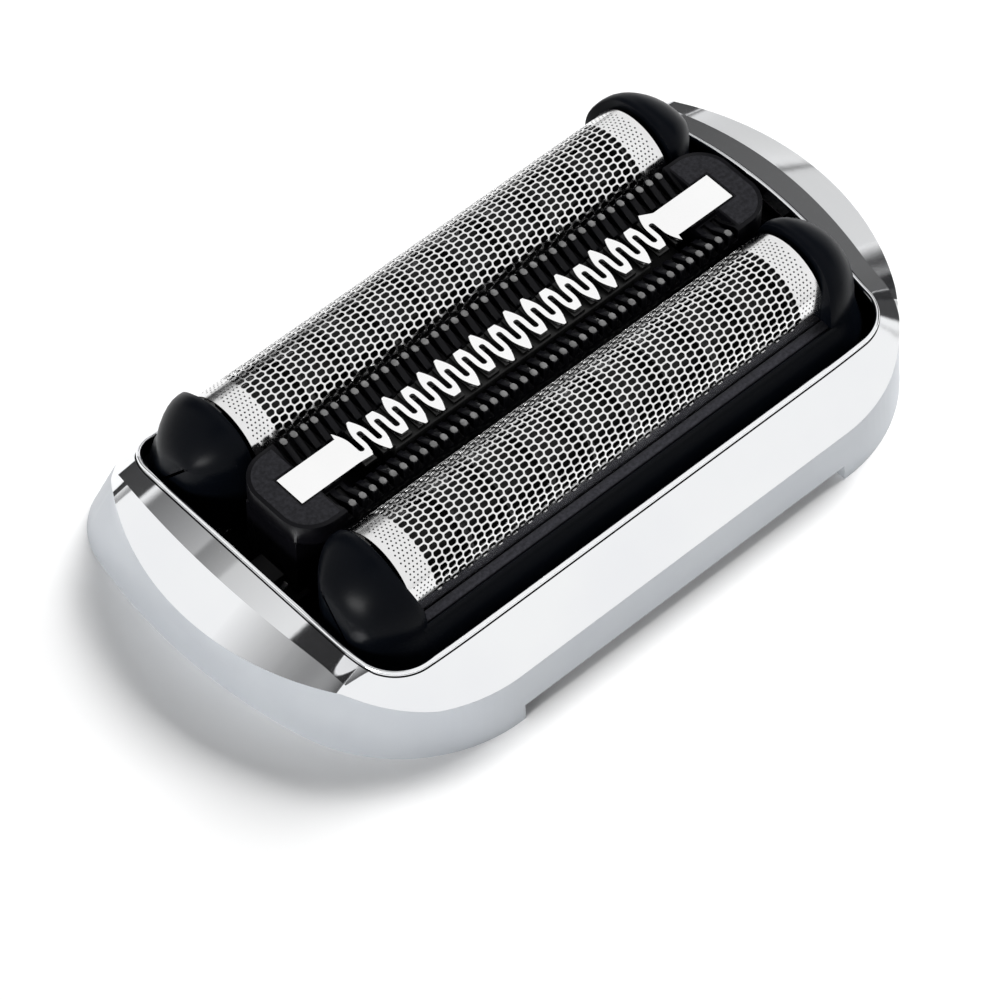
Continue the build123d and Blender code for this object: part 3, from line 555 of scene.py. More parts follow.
def foil_tree():
    """One foil: long six-sided holes and small end dots in a sheet, which is then bent."""
    tree = bpy.data.node_groups.new("perforated_foil", "GeometryNodeTree")
    entry = inputs_of(
        tree,
        (
            "Half Length",
            "Half Width",
            "Radius",
            "Axis Y",
            "Axis Z",
            "Hole Point",
            "Hole Shoulder",
            "Hole Half Width",
            "Hole Round",
            "Pitch Along",
            "Pitch Around",
            "Dot Radius",
            "Dot Pitch",
            "Dot Middle",
        ),
        ("Columns", "Rows", "Dot Columns", "Dot Rows"),
    )
    width = math_node(tree, "MULTIPLY", entry["Half Length"], 2.0)
    height = math_node(tree, "MULTIPLY", entry["Half Width"], 2.0)
    outline = put(tree, "GeometryNodeCurvePrimitiveQuadrilateral", {"Width": width, "Height": height})
    outline = put(
        tree,
        "GeometryNodeResampleCurve",
        {"Curve": outline.outputs[0], "Length": FOIL_EDGE_STEP * MM},
        mode="LENGTH",
    )
    hexagon = put(tree, "GeometryNodeCurvePrimitiveCircle", {"Resolution": 6, "Radius": 1.0})
    corner = put(tree, "ShaderNodeSeparateXYZ", {0: put(tree, "GeometryNodeInputPosition").outputs[0]})
    side = math_node(tree, "SIGN", corner.outputs["X"])
    tip = math_node(tree, "SUBTRACT", math_node(tree, "ABSOLUTE", corner.outputs["X"]), 0.5)
    point_length = math_node(tree, "SUBTRACT", entry["Hole Point"], entry["Hole Shoulder"])
    reach = math_node(tree, "MULTIPLY", math_node(tree, "MULTIPLY", tip, 2.0), point_length)
    reach = math_node(tree, "MULTIPLY", math_node(tree, "ADD", reach, entry["Hole Shoulder"]), side)
    level = math_node(tree, "MULTIPLY", corner.outputs["Y"], entry["Hole Half Width"])
    shaped = put(
        tree,
        "ShaderNodeCombineXYZ",
        {"X": reach, "Y": math_node(tree, "DIVIDE", level, math.sin(math.pi / 3))},
    )
    hexagon = put(
        tree,
        "GeometryNodeSetPosition",
        {"Geometry": hexagon.outputs[0], "Position": shaped.outputs[0]},
    )
    hexagon = put(
        tree,
        "GeometryNodeFilletCurve",
        {"Curve": hexagon.outputs[0], "Count": 1, "Radius": entry["Hole Round"], "Limit Radius": True},
        mode="POLY",
    )
    holes = lattice(tree, entry, "Columns", "Rows", "Pitch Along", "Pitch Around", hexagon.outputs[0])
    dot = put(tree, "GeometryNodeCurvePrimitiveCircle", {"Resolution": 6, "Radius": entry["Dot Radius"]})
    dots = lattice(tree, entry, "Dot Columns", "Dot Rows", "Dot Pitch", "Dot Pitch", dot.outputs[0])
    place = put(tree, "ShaderNodeCombineXYZ", {"X": entry["Dot Middle"]}).outputs[0]
    right = put(tree, "GeometryNodeTransform", {"Geometry": dots, "Translation": place})
    back = put(tree, "ShaderNodeVectorMath", {0: place, "Scale": -1.0}, operation="SCALE")
    left = put(tree, "GeometryNodeTransform", {"Geometry": dots, "Translation": back.outputs[0]})
    every = joined(tree, (outline.outputs[0], holes, right.outputs[0], left.outputs[0]))
    flat = put(tree, "GeometryNodeFillCurve", {"Curve": every}, mode="TRIANGLES")

    # The sheet bends round its axis and runs straight down below it
    spot = put(tree, "ShaderNodeSeparateXYZ", {0: put(tree, "GeometryNodeInputPosition").outputs[0]})
    angle = math_node(tree, "DIVIDE", spot.outputs["Y"], entry["Radius"])
    angle = math_node(tree, "MINIMUM", angle, math.pi / 2)
    angle = math_node(tree, "MAXIMUM", angle, -math.pi / 2)
    across = math_node(tree, "MULTIPLY", math_node(tree, "SINE", angle), entry["Radius"])
    rise = math_node(tree, "MULTIPLY", math_node(tree, "COSINE", angle), entry["Radius"])
    quarter = math_node(tree, "MULTIPLY", entry["Radius"], math.pi / 2)
    beyond = math_node(tree, "SUBTRACT", math_node(tree, "ABSOLUTE", spot.outputs["Y"]), quarter)
    drop = math_node(tree, "MAXIMUM", beyond, 0.0)
    bent = put(
        tree,
        "ShaderNodeCombineXYZ",
        {
            "X": spot.outputs["X"],
            "Y": math_node(tree, "ADD", across, entry["Axis Y"]),
            "Z": math_node(tree, "SUBTRACT", math_node(tree, "ADD", rise, entry["Axis Z"]), drop),
        },
    )
    arch = put(
        tree,
        "GeometryNodeSetPosition",
        {"Geometry": flat.outputs[0], "Position": bent.outputs[0]},
    )
    end_tree(tree, entry, arch.outputs[0])
    return tree


def grow(name, tree, values, seed=None):
    """Runs a node tree with named inputs and keeps the result as a plain mesh object."""
    holder = link(name + "_grower", seed or bpy.data.meshes.new(name + "_seed"))
    modifier = holder.modifiers.new("grow", "NODES")
    modifier.node_group = tree
    for item in tree.interface.items_tree:
        if item.in_out == "INPUT" and item.name in values:
            modifier[item.identifier] = values[item.name]
    graph = bpy.context.evaluated_depsgraph_get()
    mesh = bpy.data.meshes.new_from_object(holder.evaluated_get(graph), depsgraph=graph)
    holder.modifiers.remove(modifier)
    bpy.data.objects.remove(holder)
    mesh.name = name
    return link(name, mesh)


FOIL_TREE = foil_tree()
SHEET_HALF_WIDTH = FOIL_RADIUS * math.pi / 2 + FOIL_AXIS_Z - FOIL_SKIRT_Z
DOT_MIDDLE = FOIL_HALF_LENGTH - PLAIN_END - DOT_PITCH * DOT_COLUMNS / 2


def make_foil(name, axis_y, body, node):
    """One thin foil with its holes, its dots and its plain ends."""
    piece = grow(
        name,
        FOIL_TREE,
        {
            "Half Length": FOIL_HALF_LENGTH * MM,
            "Half Width": SHEET_HALF_WIDTH * MM,
            "Radius": FOIL_RADIUS * MM,
            "Axis Y": axis_y * MM,
            "Axis Z": FOIL_AXIS_Z * MM,
            "Hole Point": HOLE_POINT * MM,
            "Hole Shoulder": HOLE_SHOULDER * MM,
            "Hole Half Width": HOLE_HALF_WIDTH * MM,
            "Hole Round": HOLE_ROUND * MM,
            "Pitch Along": HOLE_PITCH_ALONG * MM,
            "Pitch Around": HOLE_PITCH_AROUND * MM,
            "Dot Radius": DOT_RADIUS * MM,
            "Dot Pitch": DOT_PITCH * MM,
            "Dot Middle": DOT_MIDDLE * MM,
            "Columns": HOLE_COLUMNS,
            "Rows": HOLE_ROWS,
            "Dot Columns": DOT_COLUMNS,
            "Dot Rows": DOT_ROWS,
            "Material": nickel_foil,
        },
    )
    thicken = piece.modifiers.new("thickness", "SOLIDIFY")
    thicken.thickness = FOIL_THICKNESS * MM
    thicken.offset = -1.0
    settle(piece)
    smooth(piece, FOIL_CRISP_ANGLE)
    finish_piece(piece, None, body, "nickel_foil", node)


make_foil("front_foil_sheet", FRONT_Y, "front_foil_unit", "front_foil")
make_foil("rear_foil_sheet", REAR_Y, "rear_foil_unit", "rear_foil")


# Foil frames: arched ears that flow into a sloping border, with a groove round the foil's end
def ease(share):
    """A smooth step from 0 to 1."""
    share = min(max(share, 0.0), 1.0)
    return share * share * (3 - 2 * share)


def flare(height):
    """How far the frame's outer side stands from the foil's axis at a height."""
    return EAR_RADIUS + FLARE_REACH * (1 - ease((height - FLARE_FOOT_Z) / (EAR_AXIS_Z - FLARE_FOOT_Z)))


def ear_outline():
    """Points across an ear from its outer foot over the arch to its trimmer side, each with a swing."""
    points = [(-flare(FRAME_FOOT), FRAME_FOOT, 1.0)]
    steps = 8
    for step in range(steps):
        height = FLARE_FOOT_Z + (EAR_AXIS_Z - FLARE_FOOT_Z) * step / steps
        points.append((-flare(height), height, 1.0))
    side = EAR_TRIMMER_SIDE - EAR_SIDE_ROUND
    reach = EAR_RADIUS - EAR_SIDE_ROUND
    rise = math.sqrt(reach**2 - side**2)
    meet = math.degrees(math.atan2(rise, side))
    steps = 26
    for step in range(steps):
        turn = 180 + (meet - 180) * step / steps
        place = math.radians(turn)
        swing = ease((turn - SWING_START) / SWING_SPAN)
        points.append((EAR_RADIUS * math.cos(place), EAR_AXIS_Z + EAR_RADIUS * math.sin(place), swing))
    steps = 12
    for step in range(steps + 1):
        place = math.radians(meet * (1 - step / steps))
        across = side + EAR_SIDE_ROUND * math.cos(place)
        points.append((across, EAR_AXIS_Z + rise + EAR_SIDE_ROUND * math.sin(place), 0.0))
    points.append((EAR_TRIMMER_SIDE, FRAME_FOOT, 0.0))
    return points


def inward(points):
    """Unit steps from each outline point toward the inside."""
    steps = []
    for index in range(len(points)):
        before = Vector(points[max(index - 1, 0)][:2])
        after = Vector(points[min(index + 1, len(points) - 1)][:2])
        along = (after - before).normalized()
        steps.append((along.y, -along.x))
    return steps


# Each station of an ear: place along the head, inset of the outline, swing round the foil's corner
EAR_STATIONS = (
    (19.38, 1.3, 0.12),
    (19.72, 1.28, 0.6),
    (19.8, 0.9, 0.72),
    (19.84, 0.32, 0.78),
    (19.89, 0.1, 0.8),
    (20.0, 0.02, 0.8),
    (20.35, 0.0, 0.68),
    (20.75, 0.06, 0.5),
    (21.15, 0.22, 0.34),
    (21.55, 0.45, 0.22),
    (21.95, 0.74, 0.12),
    (22.35, 1.08, 0.05),
    (22.7, 1.44, 0.0),
    (23.0, 1.8, 0.0),
    (23.3, 2.25, 0.0),
    (23.5, 2.7, 0.0),
    (23.6, 3.1, 0.0),
)


def loft(bm, rings):
    """Skins a row of closed rings and caps both ends."""
    loops = []
    for ring in rings:
        loops.append([bm.verts.new(Vector(point) * MM) for point in ring])
    for low, high in zip(loops, loops[1:]):
        for index in range(len(low)):
            after = (index + 1) % len(low)
            bm.faces.new((low[index], low[after], high[after], high[index]))
    bm.faces.new(loops[0])
    bm.faces.new(loops[-1])


def make_frame(name, axis_y, facing, body, node):
    """One foil frame: two ears, a sloping border and an inner wall, facing front or rear."""
    bm = bmesh.new()
    outline = ear_outline()
    steps = inward(outline)

    def spot(x, across, height):
        return x, axis_y + facing * across, height

    for way in (-1, 1):
        rings = []
        for x, inset, swing in EAR_STATIONS:
            ring = []
            for (across, height, share), (step_y, step_z) in zip(outline, steps):
                place = way * (x - swing * share)
                ring.append(spot(place, across + inset * step_y, max(height + inset * step_z, FRAME_FOOT)))
            rings.append(ring)
        loft(bm, rings)
        for near, far, half, top in (SHELF, TONGUE):
            corners = ((-half, FRAME_FOOT), (half, FRAME_FOOT), (half, top), (-half, top))
            loft(bm, [[spot(way * x, *corner) for corner in corners] for x in (near, far)])
    border = [(-FOIL_SEAT, FRAME_BOTTOM), (-FOIL_SEAT, LEDGE_Z), (-BORDER_Y, LEDGE_Z)]
    border += [(-BORDER_Y - out, BORDER_Z - down) for out, down in BORDER_ROUND]
    heights = 9
    for step in range(heights + 1):
        height = BORDER_Z - BORDER_DROP + (FLARE_FOOT_Z - BORDER_Z + BORDER_DROP) * step / heights
        border.append((-flare(height), height))
    border.append((-flare(FRAME_BOTTOM), FRAME_BOTTOM))
    loft(bm, [[spot(x, *point) for point in border] for x in (-WALL_END, WALL_END)])
    chamfer_in, chamfer_down = INNER_WALL_CHAMFER
    inner = (
        (FOIL_SEAT, FRAME_BOTTOM),
        (INNER_WALL_Y, FRAME_BOTTOM),
        (INNER_WALL_Y, INNER_WALL_Z - chamfer_down),
        (INNER_WALL_Y - chamfer_in, INNER_WALL_Z),
        (FOIL_SEAT, INNER_WALL_Z),
    )
    loft(bm, [[spot(x, *point) for point in inner] for x in (-INNER_WALL_END, INNER_WALL_END)])
    bmesh.ops.recalc_face_normals(bm, faces=bm.faces)
    mesh = bpy.data.meshes.new(name)
    bm.to_mesh(mesh)
    bm.free()
    piece = link(name, mesh)
    smooth(piece, FRAME_CRISP_ANGLE)
    finish_piece(piece, black_frame, body, "black_frame", node)


make_frame("front_foil_cradle", FRONT_Y, 1, "front_foil_unit", "front_foil_frame")
make_frame("rear_foil_cradle", REAR_Y, -1, "rear_foil_unit", "rear_foil_frame")


# Trimmer blade: slots cut from both sides in turn leave a wave of pointed and blunt lobes
def slot_half(reach):
    """Half width of a slot at a distance from the blade's middle line."""
    share = max(reach - SLOT_FLARE, 0.0) / (TOOTH_REACH - SLOT_FLARE)
    return SLOT_HALF + (SLOT_MOUTH_HALF - SLOT_HALF) * share**SLOT_CURVE


def wave_side(way, blunt):
    """The blade's edge on one side, from its left plate to its right one."""
    points = []
    floor = SLOT_HALF - SLOT_OVERLAP
    samples = 9
    for index in range(TOOTH_SLOTS):
        slot_x = (index - (TOOTH_SLOTS - 1) / 2 - way / 4) * TOOTH_STEP
        left_tip = TOOTH_REACH - TOOTH_BLUNT * ((index - 1) % TOOTH_CYCLE in blunt)
        right_tip = TOOTH_REACH - TOOTH_BLUNT * (index % TOOTH_CYCLE in blunt)
        for step in range(samples):
            reach = left_tip + (floor - left_tip) * step / samples
            points.append((slot_x - slot_half(reach), way * reach))
        for step in range(samples + 1):
            turn = math.pi * step / samples
            depth = floor - SLOT_HALF * math.sin(turn)
            points.append((slot_x - SLOT_HALF * math.cos(turn), way * depth))
        for step in range(1, samples + 1):
            reach = floor + (right_tip - floor) * step / samples
            points.append((slot_x + slot_half(reach), way * reach))
    return points


def flat_piece(name, outline, top, thickness):
    """A plate of a closed outline, given from its top face down."""
    mesh = bpy.data.meshes.new(name)
    mesh.from_pydata(
        [(x * MM, (HEAD_Y + y) * MM, top * MM) for x, y in outline],
        [],
        [tuple(range(len(outline)))],
    )
    piece = link(name, mesh)
    thicken = piece.modifiers.new("thickness", "SOLIDIFY")
    thicken.thickness = thickness * MM
    thicken.offset = -1.0
    return piece


blade_edge = [(-PLATE_OUTER_X, -PLATE_HALF_WIDTH), (-PLATE_INNER_X, -PLATE_HALF_WIDTH)]
blade_edge += wave_side(-1, FRONT_BLUNT)
blade_edge += [(PLATE_INNER_X, -PLATE_HALF_WIDTH), (PLATE_OUTER_X, -PLATE_HALF_WIDTH)]
blade_edge += [(PLATE_OUTER_X, PLATE_HALF_WIDTH), (PLATE_INNER_X, PLATE_HALF_WIDTH)]
blade_edge += wave_side(1, REAR_BLUNT)[::-1]
blade_edge += [(-PLATE_INNER_X, PLATE_HALF_WIDTH), (-PLATE_OUTER_X, PLATE_HALF_WIDTH)]
wave_blade = flat_piece("trimmer_wave_blade", blade_edge, BLADE_TOP, BLADE_THICKNESS)
bevel(wave_blade, BLADE_EDGE, 1, BLADE_CRISP_ANGLE)
settle(wave_blade)
finish_piece(wave_blade, polished_steel, "trimmer_unit", "polished_steel", "trimmer_shear_blade")


# Textured lands round the plates at both ends of the trimmer
def land_outline(way):
    """The U-shaped land at one end."""
    half = TRIMMER_HALF_WIDTH - LAND_EDGE
    round_end = TRIMMER_END_ROUND - LAND_EDGE
    corner_x = TRIMMER_HALF_LENGTH - TRIMMER_END_ROUND
    corner_y = TRIMMER_HALF_WIDTH - TRIMMER_END_ROUND
    steps = 10
    points = [(LAND_START, -POCKET_HALF_WIDTH), (LAND_START, -half)]
    for side in (-1, 1):
        for step in range(steps + 1):
            turn = math.pi / 2 * (step / steps if side > 0 else step / steps - 1)
            across = side * corner_y + round_end * math.sin(turn)
            points.append((corner_x + round_end * math.cos(turn), across))
    points += [(LAND_START, half), (LAND_START, POCKET_HALF_WIDTH)]
    points += [(POCKET_END, POCKET_HALF_WIDTH), (POCKET_END, -POCKET_HALF_WIDTH)]
    if way < 0:
        points = [(-x, y) for x, y in reversed(points)]
    return points


for way, label in ((-1, "left"), (1, "right")):
    top = TRIMMER_TOP + LAND_HEIGHT
    land = flat_piece("trimmer_land_" + label, land_outline(way), top, 2 * LAND_HEIGHT)
    bevel(land, LAND_BEVEL, 1)
    settle(land)
    finish_piece(land, textured_land, "trimmer_unit", "black_frame")


# Small caps on the comb teeth, light grey as a painted highlight on their black tops
def comb_tree():
    """Two rows of small rounded caps."""
    tree = bpy.data.node_groups.new("comb_caps", "GeometryNodeTree")
    entry = inputs_of(tree, ("Step", "Row Y", "Middle Y", "Top Z", "Length", "Depth", "Height"), ("Count",))
    sides = {"X": entry["Length"], "Y": entry["Depth"], "Z": entry["Height"]}
    size = put(tree, "ShaderNodeCombineXYZ", sides)
    block = put(tree, "GeometryNodeMeshCube", {"Size": size.outputs[0]})
    cap = put(tree, "GeometryNodeSubdivisionSurface", {"Mesh": block.outputs[0], "Level": 1})
    cap = put(tree, "GeometryNodeSetShadeSmooth", {"Geometry": cap.outputs[0]})
    gaps = math_node(tree, "SUBTRACT", entry["Count"], 1.0)
    start_x = math_node(tree, "MULTIPLY", math_node(tree, "MULTIPLY", gaps, entry["Step"]), -0.5)
    rows = []
    for side in ("SUBTRACT", "ADD"):
        row_y = math_node(tree, side, entry["Middle Y"], entry["Row Y"])
        start = put(tree, "ShaderNodeCombineXYZ", {"X": start_x, "Y": row_y, "Z": entry["Top Z"]})
        step = put(tree, "ShaderNodeCombineXYZ", {"X": entry["Step"]})
        row = put(
            tree,
            "GeometryNodeMeshLine",
            {"Count": entry["Count"], "Start Location": start.outputs[0], "Offset": step.outputs[0]},
        )
        caps = put(
            tree,
            "GeometryNodeInstanceOnPoints",
            {"Points": row.outputs[0], "Instance": cap.outputs[0]},
        )
        rows.append(caps.outputs[0])
    end_tree(tree, entry, joined(tree, rows))
    return tree


comb_caps = grow(
    "trimmer_comb_tops",
    comb_tree(),
    {
        "Step": COMB_STEP * MM,
        "Row Y": COMB_CAP_Y * MM,
        "Middle Y": HEAD_Y * MM,
        "Top Z": TRIMMER_TOP * MM,
        "Length": COMB_CAP_SIZE[0] * MM,
        "Depth": COMB_CAP_SIZE[1] * MM,
        "Height": COMB_CAP_SIZE[2] * MM,
        "Count": COMB_CAPS,
        "Material": comb_highlight_grey,
    },
)
finish_piece(comb_caps, None, "trimmer_unit", "black_frame")


# Mirror bezel: a slope in front, and at both ends a band inside a crescent, with a lip round the opening
def ring_half(half_length, front, rear, front_corner, rear_corner, end_radius):
    """Right half of an outline with straight long sides, bowed ends and corner arcs, front to rear."""
    bow = half_length - end_radius
    front_turn = math.asin((front + front_corner - HEAD_Y) / (end_radius - front_corner))
    rear_turn = math.asin((rear - rear_corner - HEAD_Y) / (end_radius - rear_corner))
    points = [(0.0, front)]
    steps = 720
    for step in range(steps + 1):
        turn = math.pi * (step / steps - 0.5)
        middle_x, middle_y, radius = bow, HEAD_Y, end_radius
        if turn < front_turn:
            middle_x += (end_radius - front_corner) * math.cos(front_turn)
            middle_y, radius = front + front_corner, front_corner
        elif turn > rear_turn:
            middle_x += (end_radius - rear_corner) * math.cos(rear_turn)
            middle_y, radius = rear - rear_corner, rear_corner
        points.append((middle_x + radius * math.cos(turn), middle_y + radius * math.sin(turn)))
    points.append((0.0, rear))
    return points


def run_lengths(points):
    """Length of a run up to each of its points."""
    lengths = [0.0]
    for first, second in zip(points, points[1:]):
        lengths.append(lengths[-1] + math.dist(first, second))
    return lengths


def passing(points, lengths, axis, value, which):
    """Length along a run at which a coordinate passes a value, for the first or the last time."""
    found = []
    for index in range(len(points) - 1):
        before = points[index][axis] - value
        after = points[index + 1][axis] - value
        if before * after <= 0 and before != after:
            found.append(lengths[index] + (lengths[index + 1] - lengths[index]) * before / (before - after))
    return found[which]


def point_at(points, lengths, length):
    """Point of a run at a length along it."""
    index = min(max(bisect.bisect_right(lengths, length) - 1, 0), len(points) - 2)
    share = (length - lengths[index]) / (lengths[index + 1] - lengths[index])
    return Vector(points[index]).lerp(Vector(points[index + 1]), share)


def stations_of(form, turn_front, turn_rear):
    """Points along half an outline: front side, front corner, end, rear corner and rear side."""
    points = ring_half(*form)
    lengths = run_lengths(points)
    marks = (
        0.0,
        passing(points, lengths, 0, turn_front, 0),
        passing(points, lengths, 1, BAND_FRONT_Y, 0),
        passing(points, lengths, 1, BAND_REAR_Y, 0),
        passing(points, lengths, 0, turn_rear, -1),
        lengths[-1],
    )
    stretches = []
    for count, first, last in zip(STRETCH_STEPS, marks, marks[1:]):
        places = [first + (last - first) * step / count for step in range(count + 1)]
        stretches.append([point_at(points, lengths, place) for place in places])
    return stretches


def band_height(x, y):
    """Height of the arched band at a place."""
    drop = BAND_ARCH - math.sqrt(BAND_ARCH**2 - (y - HEAD_Y) ** 2)
    slope = math.radians(BAND_SLOPE)
    return BAND_Z - (x - BAND_X) * math.tan(slope) - drop / math.cos(slope)


def edge_height(y):
    """Height of the ring wall's top edge, which rises at the ends."""
    heights = [WALL_EDGE[0][1]]
    for (low_y, low_z), (high_y, high_z) in zip(WALL_EDGE, WALL_EDGE[1:]):
        if low_y < y <= high_y:
            heights.append(low_z + (high_z - low_z) * (y - low_y) / (high_y - low_y))
    return max(heights)


def crease_at(outer, inner):
    """Share of the way in from the outer edge, and height, of the crease between crescent and band."""
    x = BAND_X + CREASE_REACH - CREASE_BOW * (outer.y - HEAD_Y) ** 2
    return (outer.x - x) / (outer.x - inner.x), band_height(x, outer.y)


outer_run = stations_of(OUTER_FORM, FRONT_TURN_X, OUTER_REAR_TURN_X)
inner_run = stations_of(OPENING_FORM, FRONT_TURN_X, OPENING_REAR_TURN_X)
FRONT_CREASE = crease_at(outer_run[2][0], inner_run[2][0])
REAR_CREASE = crease_at(outer_run[2][-1], inner_run[2][-1])
BAND_FRONT_RIM = band_height(*inner_run[2][0])
BAND_REAR_RIM = band_height(*inner_run[2][-1])


def section_heights(stretch, share, outer, inner):
    """Edge height, rim height, and the crease's place and height, at one station."""
    edge = edge_height(outer.y) + EDGE_LAP
    if stretch == 2:
        crease, crease_z = crease_at(outer, inner)
        return edge, band_height(inner.x, inner.y), crease, crease_z
    if stretch == 1:
        grown = max(share - TIP_FRONT, 0.0) / (1 - TIP_FRONT)
        rim = FRONT_RIM_Z + (BAND_FRONT_RIM - FRONT_RIM_Z) * ease(share)
        return edge, rim, FRONT_CREASE[0] * grown, edge + (FRONT_CREASE[1] - edge) * grown
    if stretch == 3:
        grown = max(TIP_REAR - share, 0.0) / TIP_REAR
        rim = BAND_REAR_RIM + (REAR_RIM_Z - BAND_REAR_RIM) * share
        return edge, rim, REAR_CREASE[0] * grown, edge + (REAR_CREASE[1] - edge) * grown
    return edge, FRONT_RIM_Z if stretch == 0 else REAR_RIM_Z, 0.0, edge


def bezel_ring(stretch, share, outer, inner):
    """Closed section of the bezel at one station, and the place of its lip."""
    edge, rim, crease, crease_z = section_heights(stretch, share, outer, inner)
    fold = outer.lerp(inner, crease)
    ring = []
    ring.append((*outer, edge))
    for step in range(3):
        ring.append((*fold.lerp(inner, step / 2), crease_z + (rim - crease_z) * step / 2))
    ring.append((*inner, rim - RIM_DEPTH))
    ring.append((*outer.lerp(inner, 0.5), (edge + rim) / 2 - RIM_DEPTH))
    ring.append((*outer.lerp(inner, SKIRT_INSET), edge - SKIRT_DEPTH))
    inset = (outer - inner).normalized() * LIP_SET_BACK
    return ring, (*(inner + inset), rim)


right_rings = []
right_lip = []
for stretch in range(len(STRETCH_STEPS)):
    last = STRETCH_STEPS[stretch]
    for step in range(last + (stretch == len(STRETCH_STEPS) - 1)):
        outer = outer_run[stretch][step]
        inner = inner_run[stretch][step]
        ring, lip_spot = bezel_ring(stretch, step / last, outer, inner)
        right_rings.append(ring)
        right_lip.append(lip_spot)


def relax(rings, middle):
    """Rounds the band's turn into a corner: fold and rim follow their neighbours along the ring."""
    for _ in range(TURN_ROUNDS):
        for place in (1, 2, 3):
            line = [Vector(ring[place]) for ring in rings]
            for index in range(middle - TURN_REACH, middle + TURN_REACH + 1):
                beside = (line[index - 1] + line[index + 1]) / 2
                rings[index][place] = tuple(line[index].lerp(beside, 0.5))


relax(right_rings, sum(STRETCH_STEPS[:2]))
relax(right_rings, sum(STRETCH_STEPS[:3]))
right_lip = [(x, y, ring[3][2]) for (x, y, z), ring in zip(right_lip, right_rings)]


def mirrored(points):
    """Points on the other end of the head."""
    return [(-x, y, z) for x, y, z in points]


# Outer edge, crease, rim and the hidden lower edges stay crisp along the ring
CRISP_PLACES = (0, 1, 3, 4, 5, 6)
bezel_rings = right_rings + [mirrored(ring) for ring in right_rings[-2:0:-1]]
bezel_mesh = bmesh.new()
loops = [[bezel_mesh.verts.new(Vector(point) * MM) for point in ring] for ring in bezel_rings]
for index, loop in enumerate(loops):
    following = loops[(index + 1) % len(loops)]
    for place in range(len(loop)):
        after = (place + 1) % len(loop)
        face = bezel_mesh.faces.new((loop[place], following[place], following[after], loop[after]))
        face.smooth = True
    for place in CRISP_PLACES:
        bezel_mesh.edges.get((loop[place], following[place])).smooth = False
bmesh.ops.remove_doubles(bezel_mesh, verts=bezel_mesh.verts, dist=MERGE_DISTANCE * MM)
bmesh.ops.recalc_face_normals(bezel_mesh, faces=bezel_mesh.faces)
bezel_skin = bpy.data.meshes.new("mirror_bezel_ring")
bezel_mesh.to_mesh(bezel_skin)
bezel_mesh.free()
bezel = link("mirror_bezel_ring", bezel_skin)
finish_piece(bezel, mirror_chrome, "frame", "mirror_chrome", "chrome_bezel")


def lip_tree():
    """A round bead along a closed line."""
    tree = bpy.data.node_groups.new("bead_along_line", "GeometryNodeTree")
    entry = inputs_of(tree, ("Radius",))
    path = put(tree, "GeometryNodeMeshToCurve", {"Mesh": entry["Seed"]})
    section = {"Resolution": BEAD_SIDES, "Radius": entry["Radius"]}
    ring = put(tree, "GeometryNodeCurvePrimitiveCircle", section)
    tube = put(
        tree,
        "GeometryNodeCurveToMesh",
        {"Curve": path.outputs[0], "Profile Curve": ring.outputs[0]},
    )
    soft = put(tree, "GeometryNodeSetShadeSmooth", {"Geometry": tube.outputs[0]})
    end_tree(tree, entry, soft.outputs[0])
    return tree


def bead(name, tree, right_half, radius, look, slot):
    """A bead round the opening, along a line given for the right half."""
    points = right_half + mirrored(right_half[-2:0:-1])
    line = bpy.data.meshes.new(name + "_line")
    line.from_pydata(
        [Vector(point) * MM for point in points],
        [(index, (index + 1) % len(points)) for index in range(len(points))],
        [],
    )
    piece = grow(name, tree, {"Radius": radius * MM, "Material": look}, line)
    finish_piece(piece, None, "frame", slot)


def shade_line_spot(ring):
    """Place of the painted shade line between the lip and the bezel's face, just below that face."""
    fold = Vector(ring[1])
    rim = Vector(ring[3])
    place = rim.lerp(fold, SHADE_LINE_SET_BACK / (fold - rim).length)
    return place.x, place.y, place.z - SHADE_LINE_SINK


LIP_TREE = lip_tree()
bead("opening_lip", LIP_TREE, right_lip, LIP_RADIUS, mirror_chrome, "mirror_chrome")
# A thin black bead beside the lip paints the shade line there
right_shade_line = [shade_line_spot(ring) for ring in right_rings]
bead("opening_shade_line", LIP_TREE, right_shade_line, SHADE_LINE_RADIUS, black_inner, "black_inner")


# Stage
def sheet(name, width, height, place, look, turn=(0.0, 0.0, 0.0)):
    """A sheet of the stage, which faces up unless it is turned."""
    mesh = bpy.data.meshes.new(name)
    mesh.from_pydata([(-1, -1, 0), (1, -1, 0), (1, 1, 0), (-1, 1, 0)], [], [(0, 1, 2, 3)])
    mesh.materials.append(look)
    item = link(name, mesh)
    item.location = place
    item.scale = (width / 2, height / 2, 1.0)
    item.rotation_euler = turn
    return item


floor_look, floor_tree, floor_shader = new_material("white_sweep")
floor_shader.inputs["Base Color"].default_value = (*grey(FLOOR_GREY), 1.0)
floor_shader.inputs["Roughness"].default_value = 0.9
floor_shader.inputs["Specular IOR Level"].default_value = 0.0
floor_rays = put(floor_tree, "ShaderNodeLightPath").outputs
floor_seen = math_node(floor_tree, "MAXIMUM", floor_rays["Is Camera Ray"], floor_rays["Is Glossy Ray"])
floor_glow = math_node(floor_tree, "MULTIPLY", floor_seen, FLOOR_GLOW)
floor_shader.inputs["Emission Color"].default_value = WHITE
floor_tree.links.new(floor_glow, floor_shader.inputs["Emission Strength"])
sheet("floor", FLOOR_SIZE, FLOOR_SIZE, (0, 0, 0), floor_look)


